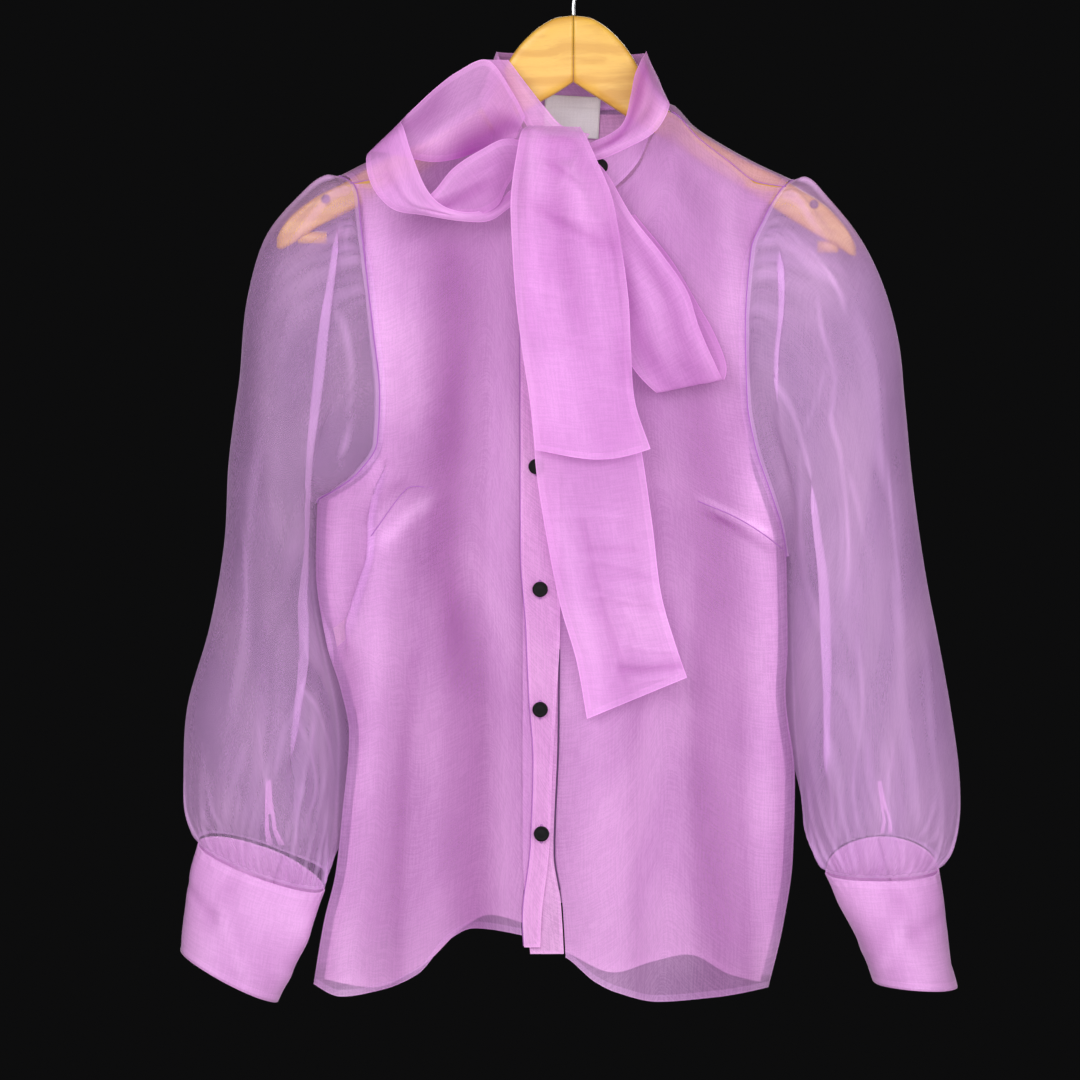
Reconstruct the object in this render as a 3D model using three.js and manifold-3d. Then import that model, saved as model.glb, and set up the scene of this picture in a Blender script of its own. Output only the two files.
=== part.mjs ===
// A long sleeve tie-neck blouse of sheer cloth, hanging on a wooden hanger.
// Millimetres, +Z up. The front faces -Y and the wearer's left is at +X; left and right are the wearer's.
// The origin is the top of the inside of the hanger's hook, where it is held.
import * as THREE from "three";
import { mergeVertices } from "three/addons/utils/BufferGeometryUtils.js";
import Module from "manifold-3d";

const wasm = await Module();
wasm.setup();
const { Manifold, Mesh } = wasm;

// Driving dimensions
const SHELL = 1.2; // wall of a single layer
const FOLDED = 2; // wall of a folded strip
const PLACKET_WALL = 1.4;
const BAND_WALL = 1.6;
const LINING_WALL = 1;
const BINDING_WALL = 1.2;
const SEAM = 0.3; // space left between two pieces at a seam
const LINING_DROP = 5; // how far the lining hangs inside the shell
const LINING_INSET = 7.5; // how far the lining stops short of the side seam, and at the armhole
const LINING_ARMHOLE_INSET = 2.5;
const LINING_TOP = 3; // how far its top edge stays below the front's
const LINING_BACK_HEM = 12; // how far its back hem stops above the shell's
const PLACKET_GAP = 1.2; // space beside a placket, across its curve
const FRONT_LAP = 2.4; // the wearer's right front lies this far over the left
const BODY_CENTRE = -5; // X of the middle of the body
const SHOULDER_BLEND = { front: 70, back: 90 }; // height over which the top turns to the shoulder line
const FOLD_FADE = 120; // height over which a fold fades in
const PLACKET_EDGE = -10; // X of the free edge of the top placket
const BUTTON_RADIUS = 5.75;
const BUTTON_THICK = 2.2;
const BUTTON_POINTS = 12;
const WIRE = 3; // hook wire
const BAR_RADIUS = 4.5;
const HOLE_RADIUS = 3.5;
const DRILL_LENGTH = 40;

// Side edge of the body: the armhole first, then the side seam. Front and back columns, top to hem.
const SIDE_LEFT = [
  { z: -186.5, frontX: 165, frontY: -2, backX: 165, backY: -1 },
  { z: -192.5, frontX: 157.5, frontY: -16, backX: 161, backY: 13 },
  { z: -203, frontX: 150, frontY: -22, backX: 152, backY: 20 },
  { z: -215, frontX: 143.5, frontY: -26, backX: 146, backY: 25 },
  { z: -240, frontX: 133, frontY: -32, backX: 136, backY: 30 },
  { z: -300, frontX: 128.6, frontY: -37, backX: 131, backY: 35 },
  { z: -353, frontX: 130, frontY: -37, backX: 131, backY: 35 },
  { z: -385, frontX: 135.4, frontY: -34, backX: 135, backY: 33 },
  { z: -427, frontX: 149.6, frontY: -22, backX: 149, backY: 21 },
  { z: -450, frontX: 157, frontY: -10, backX: 156, backY: 10 },
  { z: -471, frontX: 160.5, frontY: -0.6, backX: 160.5, backY: 0.6 },
  { z: -538, frontX: 161.6, frontY: -0.6, backX: 161.6, backY: 0.6 },
  { z: -572, frontX: 160, frontY: -0.6, backX: 160, backY: 0.6 },
  { z: -637, frontX: 167, frontY: -0.6, backX: 167, backY: 0.6 },
  { z: -698, frontX: 165.4, frontY: -0.6, backX: 165.4, backY: 0.6 },
  { z: -746, frontX: 158.6, frontY: -0.6, backX: 158.6, backY: 0.6 },
  { z: -797, frontX: 146.6, frontY: -0.6, backX: 146.6, backY: 0.6 },
];
const SIDE_RIGHT = [
  { z: -183.5, frontX: -176, frontY: -2, backX: -176, backY: -1 },
  { z: -190, frontX: -165, frontY: -16, backX: -170, backY: 13 },
  { z: -200, frontX: -161.5, frontY: -22, backX: -163, backY: 20 },
  { z: -215, frontX: -160, frontY: -26, backX: -161, backY: 25 },
  { z: -240, frontX: -157, frontY: -31, backX: -158, backY: 29 },
  { z: -300, frontX: -150, frontY: -36, backX: -152, backY: 34 },
  { z: -350, frontX: -145, frontY: -36, backX: -147, backY: 34 },
  { z: -385, frontX: -147, frontY: -31, backX: -148, backY: 30 },
  { z: -408, frontX: -162, frontY: -20, backX: -162, backY: 19 },
  { z: -420, frontX: -178, frontY: -10, backX: -178, backY: 9 },
  { z: -430, frontX: -193, frontY: -0.6, backX: -193, backY: 0.6 },
  { z: -480, frontX: -194, frontY: -0.6, backX: -194, backY: 0.6 },
  { z: -536, frontX: -186, frontY: -0.6, backX: -186, backY: 0.6 },
  { z: -572, frontX: -175, frontY: -0.6, backX: -175, backY: 0.6 },
  { z: -604, frontX: -169, frontY: -0.6, backX: -169, backY: 0.6 },
  { z: -662, frontX: -174, frontY: -0.6, backX: -174, backY: 0.6 },
  { z: -708, frontX: -179, frontY: -0.6, backX: -179, backY: 0.6 },
  { z: -746, frontX: -188, frontY: -0.6, backX: -188, backY: 0.6 },
  { z: -800, frontX: -197, frontY: -0.6, backX: -197, backY: 0.6 },
];

// How far the middle of the front and of the back stand out, down the body
const BODY_DEPTH = [
  { z: -125, front: -34, back: 38 },
  { z: -192, front: -38, back: 38 },
  { z: -260, front: -42, back: 40 },
  { z: -385, front: -46, back: 44 },
  { z: -500, front: -48, back: 46 },
  { z: -650, front: -49, back: 48 },
  { z: -805, front: -52, back: 50 },
];

// Lines across the body: the front's top edge, the hems and the ridge of the shoulders
const FRONT_TOP = [
  { x: -165, z: -190 },
  { x: -140, z: -184 },
  { x: -94, z: -154 },
  { x: -72, z: -136 },
  { x: -60, z: -154 },
  { x: -50, z: -176 },
  { x: -30, z: -198 },
  { x: -5, z: -212 },
  { x: 30, z: -198 },
  { x: 50, z: -176 },
  { x: 60, z: -154 },
  { x: 72, z: -136 },
  { x: 94, z: -156 },
  { x: 118, z: -174.5 },
  { x: 138, z: -189 },
  { x: 157.5, z: -192.5 },
];
const FRONT_HEM = [
  { x: -197, z: -792 },
  { x: -174, z: -801 },
  { x: -144, z: -795.5 },
  { x: -117, z: -783 },
  { x: -97, z: -759 },
  { x: -76, z: -749 },
  { x: -38, z: -754 },
  { x: -29, z: -762 },
  { x: -7, z: -770 },
  { x: 16, z: -789 },
  { x: 33, z: -797 },
  { x: 64, z: -804 },
  { x: 109, z: -801 },
  { x: 147, z: -795 },
];
const LINING_HEM = [
  { x: -197, z: -787 },
  { x: -150, z: -794 },
  { x: -117, z: -779 },
  { x: -81, z: -747 },
  { x: -62, z: -739 },
  { x: -38, z: -744 },
  { x: -3, z: -768 },
  { x: 30, z: -782 },
  { x: 57, z: -774 },
  { x: 82, z: -769 },
  { x: 115, z: -784 },
  { x: 147, z: -792 },
];
const BACK_HEM = [
  { x: -197, z: -786 },
  { x: -150, z: -770 },
  { x: -100, z: -745 },
  { x: 0, z: -733 },
  { x: 90, z: -748 },
  { x: 130, z: -774 },
  { x: 147, z: -786 },
];
const SHOULDER_RIDGE = [
  { x: -176, z: -183.5 },
  { x: -155, z: -173 },
  { x: -114, z: -157 },
  { x: -72, z: -129 },
  { x: 72, z: -129 },
  { x: 92, z: -147 },
  { x: 114, z: -161 },
  { x: 138, z: -174 },
  { x: 165, z: -186.5 },
];
const SHOULDER_SLOPE = 0.8; // rise of the shoulder line where it runs on across the neck
const SHOULDER_FRONT = -15; // Y of the shoulder seam
const SHOULDER_BACK = 17; // Y of the back just behind the hanger
const NECK_HALF = 72; // half the width of the neck opening
const BACK_NECK_Z = -131;
const BAND_INWARD = 1.7; // how far the neck band's foot stands inside the neckline's slope
// Places of the rows of points down a panel, closest together at the underarm, and of the lining's
const ROWS = [0, 0.035, 0.075, 0.12, 0.17, 0.22, 0.27, 0.31, 0.34, 0.365, 0.385, 0.405, 0.43, 0.455, 0.48]
  .concat([0.53, 0.59, 0.66, 0.73, 0.8, 0.87, 0.94, 1]);
const LINING_ROWS = [0, 0.07, 0.16, 0.26, 0.34, 0.39, 0.43, 0.5, 0.57, 0.63, 0.69, 0.78, 0.89, 1];

// Edges of the two plackets at their lower and their higher X, top to hem
const PLACKET_TOP = [
  { z: -208, low: -40, high: PLACKET_EDGE },
  { z: -469, low: -39.4, high: PLACKET_EDGE },
  { z: -521, low: -35.6, high: -10 },
  { z: -572, low: -33.4, high: -12.5 },
  { z: -624, low: -30, high: -15.5 },
  { z: -687, low: -32, high: -18 },
  { z: -741, low: -38, high: -24 },
  { z: -764, low: -37, high: -25 },
];
const PLACKET_UNDER = [
  { z: -208, low: -38, high: -9 },
  { z: -606, low: -38, high: -12 },
  { z: -692, low: -38, high: -15 },
  { z: -730, low: -36, high: -9.5 },
  { z: -772, low: -32, high: -7 },
];

// The largest folds of the two fronts and the back: a positive height stands out
const FOLDS = [
  { x: -128, top: -320, width: 16, height: 4 },
  { x: -77, top: -230, width: 18, height: -5 },
  { x: -50, top: -420, width: 10, height: 2 },
  { x: 35, top: -400, width: 20, height: 3 },
  { x: 98, top: -240, width: 20, height: -5 },
  { x: 135, top: -480, width: 14, height: 3 },
];
const BACK_FOLDS = [
  { x: -120, top: -300, width: 22, height: 5 },
  { x: -60, top: -200, width: 22, height: -5 },
  { x: 5, top: -260, width: 24, height: 4 },
  { x: 70, top: -220, width: 22, height: -5 },
  { x: 125, top: -320, width: 20, height: 4 },
];

// Sleeves: the outer and the inner edge of each ring, half its depth, how far its middle bows to the body.
// front and back raise the middle of the ring's front and back, where it slopes.
const SLEEVE_LEFT = [
  { outX: 177, outZ: -186, inX: 164.5, inZ: -470.5, depth: 43, bow: 34 },
  { outX: 190, outZ: -198, inX: 165, inZ: -487, depth: 47, bow: 26 },
  { outX: 213.4, outZ: -225, inX: 165.5, inZ: -505, depth: 51, bow: 16 },
  { outX: 232, outZ: -261, inX: 166.5, inZ: -525, depth: 53, bow: 8 },
  { outX: 245, outZ: -307, inX: 167, inZ: -548, depth: 54, bow: 2 },
  { outX: 250, outZ: -355, inX: 168, inZ: -572, depth: 54, bow: 0 },
  { outX: 256, outZ: -417, inX: 169, inZ: -600, depth: 54, bow: 0 },
  { outX: 266, outZ: -486.5, inX: 171, inZ: -626, depth: 54, bow: 0 },
  { outX: 276, outZ: -538, inX: 172.5, inZ: -648, depth: 54, bow: 0 },
  { outX: 284.6, outZ: -586, inX: 174, inZ: -666, depth: 52, bow: 0 },
  { outX: 291, outZ: -633, inX: 176, inZ: -681, depth: 50, bow: 0 },
  { outX: 291.5, outZ: -665, inX: 181, inZ: -694, depth: 46, bow: 0, front: -4, back: 8 },
  { outX: 285, outZ: -692, inX: 186.5, inZ: -702, depth: 38, bow: 0, front: -6, back: 17 },
  { outX: 275, outZ: -705.5, inX: 190, inZ: -706.5, depth: 28, bow: 0, front: -6, back: 25 },
];
const SLEEVE_RIGHT = [
  { outX: -189, outZ: -185, inX: -197, inZ: -432, depth: 42, bow: -30 },
  { outX: -205, outZ: -197, inX: -198.5, inZ: -450, depth: 46, bow: -22 },
  { outX: -230.6, outZ: -226, inX: -199.5, inZ: -472, depth: 50, bow: -13 },
  { outX: -246, outZ: -276.5, inX: -197.5, inZ: -503, depth: 52, bow: -6 },
  { outX: -251.6, outZ: -336, inX: -192.5, inZ: -534, depth: 54, bow: 0 },
  { outX: -256, outZ: -368, inX: -187, inZ: -558, depth: 54, bow: 0 },
  { outX: -260, outZ: -402.5, inX: -182, inZ: -582, depth: 54, bow: 0 },
  { outX: -263, outZ: -459.5, inX: -179.5, inZ: -606, depth: 54, bow: 0 },
  { outX: -274, outZ: -523, inX: -179.5, inZ: -632, depth: 53, bow: 0 },
  { outX: -291, outZ: -584, inX: -180.5, inZ: -656, depth: 51, bow: 0 },
  { outX: -294, outZ: -630, inX: -182, inZ: -678, depth: 46, bow: 0 },
  { outX: -293, outZ: -660, inX: -184, inZ: -696, depth: 38, bow: 0, front: -5, back: 4 },
  { outX: -288, outZ: -675, inX: -186, inZ: -709, depth: 28, bow: 0, front: -8, back: 10 },
  { outX: -282.5, outZ: -685, inX: -187.5, inZ: -719, depth: 17, bow: 0, front: -9, back: 15 },
];
const SLEEVE_POINTS = 32;
const CAP_GATHERS = 12;
const CUFF_GATHERS = 12;
const GATHER_HEIGHT = 2.2;

// Cuffs: rings as above, seam to free edge
const CUFF_LEFT = [
  { outX: 275, outZ: -708, inX: 190, inZ: -709, depth: 26, front: -6, back: 26 },
  { outX: 279, outZ: -735, inX: 203, inZ: -735, depth: 30, front: -5, back: 22 },
  { outX: 282, outZ: -766, inX: 215.6, inZ: -761, depth: 33, front: -4, back: 18 },
  { outX: 289, outZ: -795, inX: 226, inZ: -790, depth: 35, front: -4, back: 15 },
];
const CUFF_RIGHT = [
  { outX: -282.5, outZ: -687.5, inX: -187.5, inZ: -721.5, depth: 15, front: -9, back: 15 },
  { outX: -289, outZ: -712, inX: -195, inZ: -742, depth: 19, front: -8, back: 13 },
  { outX: -292, outZ: -735, inX: -203, inZ: -763, depth: 23, front: -7, back: 11 },
  { outX: -296, outZ: -767, inX: -223, inZ: -805, depth: 28, front: -6, back: 10 },
];
const CUFF_POINTS = 24;

// Slit bindings on the back of the sleeves, tip to cuff: the sleeve's ring, the place round it and the width
const SLIT_LEFT = [
  { ring: 9.5, turn: 271, width: 3 },
  { ring: 11.2, turn: 272, width: 7 },
  { ring: 12.5, turn: 272, width: 11 },
];
const SLIT_RIGHT = [
  { ring: 9.5, turn: 264, width: 4 },
  { ring: 11, turn: 260, width: 9 },
  { ring: 12.5, turn: 257, width: 14 },
];

// Neck band and tie strips: the two edges of each row, a the upper or outer one and b the lower or inner one
const COLLAR_BAND = [
  { face: "front", x: -8, ax: -2, ay: -45, az: -178 },
  { face: "front", x: 12, ax: 12, ay: -45, az: -170 },
  { face: "front", x: 31, ax: 27, ay: -43, az: -160 },
  { face: "front", x: 50, ax: 41, ay: -35, az: -139 },
  { face: "front", x: 61, ax: 50, ay: -25, az: -111 },
  { face: "front", x: 71, ax: 55, ay: -13, az: -94 },
  { face: "back", x: 71.5, ax: 54, ay: 6, az: -91 },
  { face: "back", x: 61, ax: 48, ay: 18, az: -91 },
  { face: "back", x: 36, ax: 32, ay: 29, az: -91 },
  { face: "back", x: 0, ax: 0, ay: 34, az: -91 },
  { face: "back", x: -36, ax: -34, ay: 29, az: -90 },
  { face: "back", x: -61, ax: -51, ay: 18, az: -90 },
  { face: "back", x: -71.5, ax: -57, ay: 6, az: -90 },
  { face: "front", x: -71, ax: -57, ay: -13, az: -92 },
  { face: "front", x: -61, ax: -50, ay: -25, az: -111 },
  { face: "front", x: -50, ax: -43, ay: -35, az: -139 },
  { face: "front", x: -33, ax: -30, ay: -43, az: -160 },
  { face: "front", x: -16, ax: -13, ay: -45, az: -172 },
];
const TIE_NECK_LEFT = [
  { ax: 55, ay: -14, az: -90, bx: 64, by: -14.2, bz: -111.5 },
  { ax: 50.6, ay: -29, az: -98, bx: 69, by: -26.5, bz: -124 },
  { ax: 46, ay: -37, az: -109, bx: 72, by: -36, bz: -132 },
  { ax: 43, ay: -45, az: -124, bx: 62, by: -43, bz: -151 },
  { ax: 36, ay: -51, az: -147, bx: 39, by: -51, bz: -165 },
  { ax: 14, ay: -55, az: -160, bx: 16, by: -56, bz: -174 },
  { ax: 3, ay: -62.5, az: -162, bx: 3.5, by: -63.3, bz: -172 },
];
const TIE_NECK_RIGHT = [
  { ax: -49, ay: -21, az: -97, bx: -60, by: -18, bz: -97 },
  { ax: -32, ay: -37, az: -120, bx: -41, by: -36, bz: -121 },
  { ax: -22, ay: -46, az: -133, bx: -32, by: -46, bz: -137 },
  { ax: -8, ay: -50, az: -148, bx: -21, by: -50, bz: -157 },
  { ax: 12, ay: -51.9, az: -154, bx: 8, by: -51.9, bz: -163 },
];
const TIE_LOOP_RIGHT = [
  { ax: -36, ay: -54, az: -141, bx: -43, by: -54, bz: -157 },
  { ax: -46, ay: -50, az: -122, bx: -52, by: -53, bz: -160 },
  { ax: -65, ay: -45, az: -98, bx: -66, by: -52, bz: -165 },
  { ax: -87, ay: -46, az: -107, bx: -89, by: -53, bz: -173 },
  { ax: -103, ay: -48, az: -119, bx: -106, by: -54, bz: -175 },
  { ax: -117, ay: -51, az: -132, bx: -124, by: -55, bz: -172 },
  { ax: -126, ay: -56, az: -141, bx: -142, by: -57, bz: -168 },
  { ax: -129, ay: -62, az: -145, bx: -153, by: -62, bz: -168 },
  { ax: -127, ay: -70, az: -150, bx: -155, by: -69, bz: -177 },
  { ax: -120, ay: -77, az: -172, bx: -150, by: -74, bz: -195 },
  { ax: -109, ay: -79, az: -197, bx: -135, by: -75, bz: -211 },
  { ax: -98, ay: -76, az: -208, bx: -112, by: -73, bz: -215.5 },
  { ax: -80, ay: -71, az: -213, bx: -82, by: -70, bz: -220 },
];
const TIE_LOOP_RETURN = [
  { ax: -104, ay: -72.4, az: -197, bx: -86, by: -69.4, bz: -214 },
  { ax: -90, ay: -67, az: -180, bx: -68, by: -65, bz: -214 },
  { ax: -69, ay: -64, az: -166, bx: -56, by: -63, bz: -207 },
  { ax: -52, ay: -63, az: -158, bx: -50, by: -63, bz: -194 },
  { ax: -34.6, ay: -67, az: -160, bx: -34.6, by: -67, bz: -172 },
];
const TIE_LOOP_LEFT = [
  { ax: 5.4, ay: -67, az: -167, bx: -1, by: -67, bz: -176.6 },
  { ax: 22, ay: -64, az: -180, bx: 8, by: -64, bz: -190 },
  { ax: 44, ay: -63, az: -216, bx: 12, by: -64, bz: -224 },
  { ax: 66, ay: -64, az: -244, bx: 20, by: -65, bz: -262 },
  { ax: 85, ay: -65, az: -272, bx: 28, by: -66, bz: -292 },
  { ax: 94, ay: -65, az: -299, bx: 36, by: -66, bz: -314 },
  { ax: 105, ay: -62, az: -324, bx: 47, by: -63, bz: -333 },
  { ax: 112.5, ay: -57, az: -338, bx: 62.6, by: -58, bz: -348 },
  { ax: 114.5, ay: -52, az: -328, bx: 58, by: -52, bz: -338 },
  { ax: 106, ay: -50, az: -304, bx: 44, by: -50.5, bz: -314 },
  { ax: 93, ay: -49.5, az: -281, bx: 34, by: -50, bz: -290 },
  { ax: 74, ay: -49, az: -249, bx: 24, by: -49.5, bz: -256 },
  { ax: 46, ay: -48.5, az: -214, bx: 14, by: -49, bz: -220 },
];
const TIE_TAIL_FRONT = [
  { ax: -34, ay: -63, az: -148, bx: 5, by: -63, bz: -149 },
  { ax: -39, ay: -75, az: -153, bx: 10, by: -75, bz: -158 },
  { ax: -43, ay: -81, az: -172, bx: 18, by: -81, bz: -176 },
  { ax: -47, ay: -82, az: -203, bx: 28, by: -82, bz: -200 },
  { ax: -46, ay: -80, az: -238, bx: 34.5, by: -80, bz: -232 },
  { ax: -43, ay: -78, az: -280, bx: 41, by: -77, bz: -278 },
  { ax: -38, ay: -76, az: -320, bx: 43, by: -75, bz: -318 },
  { ax: -33, ay: -74, az: -352, bx: 46, by: -73, bz: -355 },
  { ax: -29, ay: -72, az: -391, bx: 57.5, by: -71, bz: -390 },
];
const TIE_TAIL_BACK = [
  { ax: -26, ay: -69, az: -177.4, bx: -4, by: -69, bz: -177.4 },
  { ax: -34, ay: -70, az: -190, bx: 0, by: -71, bz: -190 },
  { ax: -36, ay: -71, az: -240, bx: 26, by: -71.5, bz: -236 },
  { ax: -34, ay: -70, az: -300, bx: 36, by: -70, bz: -300 },
  { ax: -31, ay: -67, az: -360, bx: 44, by: -66, bz: -352 },
  { ax: -28, ay: -63, az: -406, bx: 52, by: -63, bz: -398 },
  { ax: -20, ay: -59, az: -457, bx: 59, by: -59, bz: -446 },
  { ax: -10, ay: -57, az: -507, bx: 66, by: -57, bz: -500 },
  { ax: 2, ay: -57, az: -548, bx: 77, by: -57, bz: -538 },
  { ax: 10, ay: -58, az: -592, bx: 85, by: -58, bz: -561 },
];
const KNOT = { x: -15, y: -68, z: -166, radiusX: 19, radiusY: 11.6, radiusZ: 11 };
const LABEL = { x: -1, y: 31.6, top: -122, bottom: -154, width: 42, wall: 1, tilt: 3 };

// Buttons down the under placket, seen through their buttonholes
const BUTTONS = [
  { x: -28, z: -224 },
  { x: -27, z: -312 },
  { x: -28, z: -403 },
  { x: -25, z: -495 },
  { x: -25, z: -585 },
  { x: -24, z: -678 },
];
const NECK_BUTTON = { x: 20, y: -44.7, z: -178 };
const CUFF_BUTTONS = [
  { name: "cuff_button_left", x: 243, y: 33, z: -726 },
  { name: "cuff_button_right", x: -256, y: 22.4, z: -722 },
];

// Hanger arms: top and bottom edges and half the thickness, from the middle outwards
const HANGER_LEFT = [
  { x: 0.15, top: -62.8, bottom: -113, half: 6 },
  { x: 11.6, top: -64.2, bottom: -120.5, half: 6.5 },
  { x: 22, top: -69.5, bottom: -127, half: 7 },
  { x: 32.6, top: -78.5, bottom: -134, half: 7 },
  { x: 41.6, top: -89.5, bottom: -140, half: 7 },
  { x: 50, top: -103, bottom: -145, half: 7 },
  { x: 62, top: -124, bottom: -152, half: 7 },
  { x: 74, top: -137, bottom: -160, half: 7.5 },
  { x: 92, top: -151.5, bottom: -171, half: 8 },
  { x: 114, top: -165.5, bottom: -185, half: 8 },
  { x: 138, top: -178.5, bottom: -199.5, half: 8 },
  { x: 168, top: -192.5, bottom: -219, half: 8 },
  { x: 190, top: -206, bottom: -232, half: 8 },
  { x: 205, top: -222, bottom: -241, half: 7.5 },
  { x: 213, top: -234, bottom: -246.5, half: 7 },
];
const HANGER_RIGHT = [
  { x: -0.15, top: -62.8, bottom: -113, half: 6 },
  { x: -11.6, top: -64.2, bottom: -120.5, half: 6.5 },
  { x: -23, top: -69.5, bottom: -127, half: 7 },
  { x: -33.5, top: -78, bottom: -133, half: 7 },
  { x: -43, top: -88.5, bottom: -139, half: 7 },
  { x: -52, top: -103, bottom: -144, half: 7 },
  { x: -62, top: -123, bottom: -150, half: 7 },
  { x: -74, top: -136.5, bottom: -158, half: 7.5 },
  { x: -92, top: -149, bottom: -167.5, half: 8 },
  { x: -114, top: -161.5, bottom: -181, half: 8 },
  { x: -138, top: -171.5, bottom: -194, half: 8 },
  { x: -170, top: -187.5, bottom: -211, half: 8 },
  { x: -193, top: -199, bottom: -222.5, half: 8 },
  { x: -212, top: -213, bottom: -235, half: 8 },
  { x: -223.5, top: -227, bottom: -241, half: 7 },
];
const BARS = {
  left: { inner: 184, outer: 200, z: -237 },
  right: { inner: -186, outer: -208, z: -230 },
};
const HOLES = { left: { x: 181.5, z: -205 }, right: { x: -186.6, z: -201 } };
const ARM_POINTS = 12;

// Centre line of the hook wire, from the wood up and over
const HOOK_LINE = [
  { x: 0, z: -62.6 },
  { x: 0, z: -54 },
  { x: 2, z: -46 },
  { x: 11, z: -36 },
  { x: 18.5, z: -27 },
  { x: 20, z: -16 },
  { x: 14, z: -3.5 },
  { x: 0, z: 1.5 },
  { x: -14, z: -3.5 },
  { x: -20, z: -17 },
  { x: -17.5, z: -28 },
];

// Finishes
const finish = (color, roughness, metalness = 0) =>
  new THREE.MeshStandardMaterial({ color, roughness, metalness, side: THREE.DoubleSide });
const SHEER = () => finish(0xcb8ed6, 0.7);
const INNER = () => finish(0xd79bdc, 0.8);
const TIE = () => finish(0xdd82e0, 0.65);
const CUFF = () => finish(0xe4a2e6, 0.7);
const WOOD = () => finish(0xefc468, 0.5);

const range = (count) => Array.from({ length: count }, (_, i) => i);
const mix = THREE.MathUtils.lerp;
const { smoothstep } = THREE.MathUtils;

const group = new THREE.Group();
group.name = "blouse";

function add(name, geometry, material) {
  const mesh = new THREE.Mesh(geometry, material);
  mesh.name = name;
  group.add(mesh);
  return mesh;
}

// A smooth curve through a table's column, with no overshoot between its rows
function curve(rows, along, column) {
  const points = rows.map((row) => [row[along], row[column]]).sort((p, q) => p[0] - q[0]);
  const last = points.length - 1;
  const slope = points.slice(1).map(([x, y], i) => (y - points[i][1]) / (x - points[i][0]));
  const tangent = points.map((_, i) => {
    if (i === 0) return slope[0];
    if (i === last) return slope[last - 1];
    const product = slope[i - 1] * slope[i];
    return product <= 0 ? 0 : (2 * product) / (slope[i - 1] + slope[i]);
  });
  return (at) => {
    const x = THREE.MathUtils.clamp(at, points[0][0], points[last][0]);
    let i = 0;
    while (i < last - 1 && x > points[i + 1][0]) i += 1;
    const span = points[i + 1][0] - points[i][0];
    const t = (x - points[i][0]) / span;
    const rise = (2 * t + 1) * (1 - t) ** 2 * points[i][1] + t * t * (3 - 2 * t) * points[i + 1][1];
    return rise + span * (t * (1 - t) ** 2 * tangent[i] - t * t * (1 - t) * tangent[i + 1]);
  };
}

// A wall through a grid of points: rows of equal length, each point moved half the wall along its normal.
// A closed grid joins the last point of each row to its first. Where a point is null the wall is open.
function wall(grid, thickness, closed = false) {
  const rows = grid.length;
  const columns = grid[0].length;
  const at = (i, j) => {
    const column = closed ? (j + columns) % columns : THREE.MathUtils.clamp(j, 0, columns - 1);
    return grid[THREE.MathUtils.clamp(i, 0, rows - 1)][column];
  };
  const numbers = new Map();
  const found = [];
  range(rows * columns).forEach((place) => {
    const [i, j] = [Math.floor(place / columns), place % columns];
    if (!grid[i][j]) return;
    const here = grid[i][j];
    const down = (at(i + 1, j) ?? here).clone().sub(at(i - 1, j) ?? here);
    const across = (at(i, j + 1) ?? here).clone().sub(at(i, j - 1) ?? here);
    numbers.set(place, found.length);
    found.push({ here, normal: across.cross(down).normalize() });
  });
  const moved = (sign) => found.map(({ here, normal }) => here.clone().addScaledVector(normal, sign));
  const positions = [...moved(thickness / 2), ...moved(-thickness / 2)].flatMap((point) => point.toArray());
  const side = found.length;
  const index = [];
  const edges = new Map();
  const quad = (a, b, c, d) => index.push(a, b, c, a, c, d);
  for (let i = 0; i < rows - 1; i += 1) {
    for (let j = 0; j < (closed ? columns : columns - 1); j += 1) {
      const next = (j + 1) % columns;
      const places = [i * columns + j, (i + 1) * columns + j, (i + 1) * columns + next, i * columns + next];
      const [a, b, c, d] = places.map((place) => numbers.get(place));
      if ([a, b, c, d].includes(undefined)) continue;
      quad(a, b, c, d);
      quad(side + a, side + d, side + c, side + b);
      for (const [from, to] of [[a, b], [b, c], [c, d], [d, a]]) {
        if (!edges.delete(`${to} ${from}`)) edges.set(`${from} ${to}`, [from, to]);
      }
    }
  }
  for (const [from, to] of edges.values()) quad(to, from, side + from, side + to);
  return closedBody(positions, index);
}

// A geometry whose faces point out, whichever way its grid ran
function closedBody(positions, index) {
  let volume = 0;
  const corner = (k) => new THREE.Vector3().fromArray(positions, 3 * index[k]);
  for (let k = 0; k < index.length; k += 3) {
    volume += corner(k).dot(corner(k + 1).cross(corner(k + 2)));
  }
  if (volume < 0) index.reverse();
  const geometry = new THREE.BufferGeometry();
  geometry.setAttribute("position", new THREE.Float32BufferAttribute(positions, 3));
  geometry.setIndex(index);
  geometry.computeVertexNormals();
  return geometry;
}

// The body's surfaces
const sideOf = (rows) =>
  Object.fromEntries(["frontX", "frontY", "backX", "backY"].map((key) => [key, curve(rows, "z", key)]));
const sides = { left: sideOf(SIDE_LEFT), right: sideOf(SIDE_RIGHT) };
const depth = { front: curve(BODY_DEPTH, "z", "front"), back: curve(BODY_DEPTH, "z", "back") };
const ROUNDNESS = 2.6;
const FLATNESS = 0.6;

function foldHeight(folds, x, z) {
  let height = 0;
  for (const fold of folds) {
    const across = Math.exp(-(((x - fold.x) / fold.width) ** 2));
    const down = smoothstep(-z, -fold.top, FOLD_FADE - fold.top);
    height += fold.height * across * down;
  }
  return height;
}

// Heights of the forward shoulder seam and of the ridge, run on across the neck
const frontTop = curve(FRONT_TOP, "x", "z");
const ridge = curve(SHOULDER_RIDGE, "x", "z");

function seamLine(x) {
  const inside = Math.max(0, NECK_HALF - Math.abs(x));
  return inside > 0 ? frontTop(Math.sign(x || 1) * NECK_HALF) + inside * SHOULDER_SLOPE : frontTop(x);
}

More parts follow.
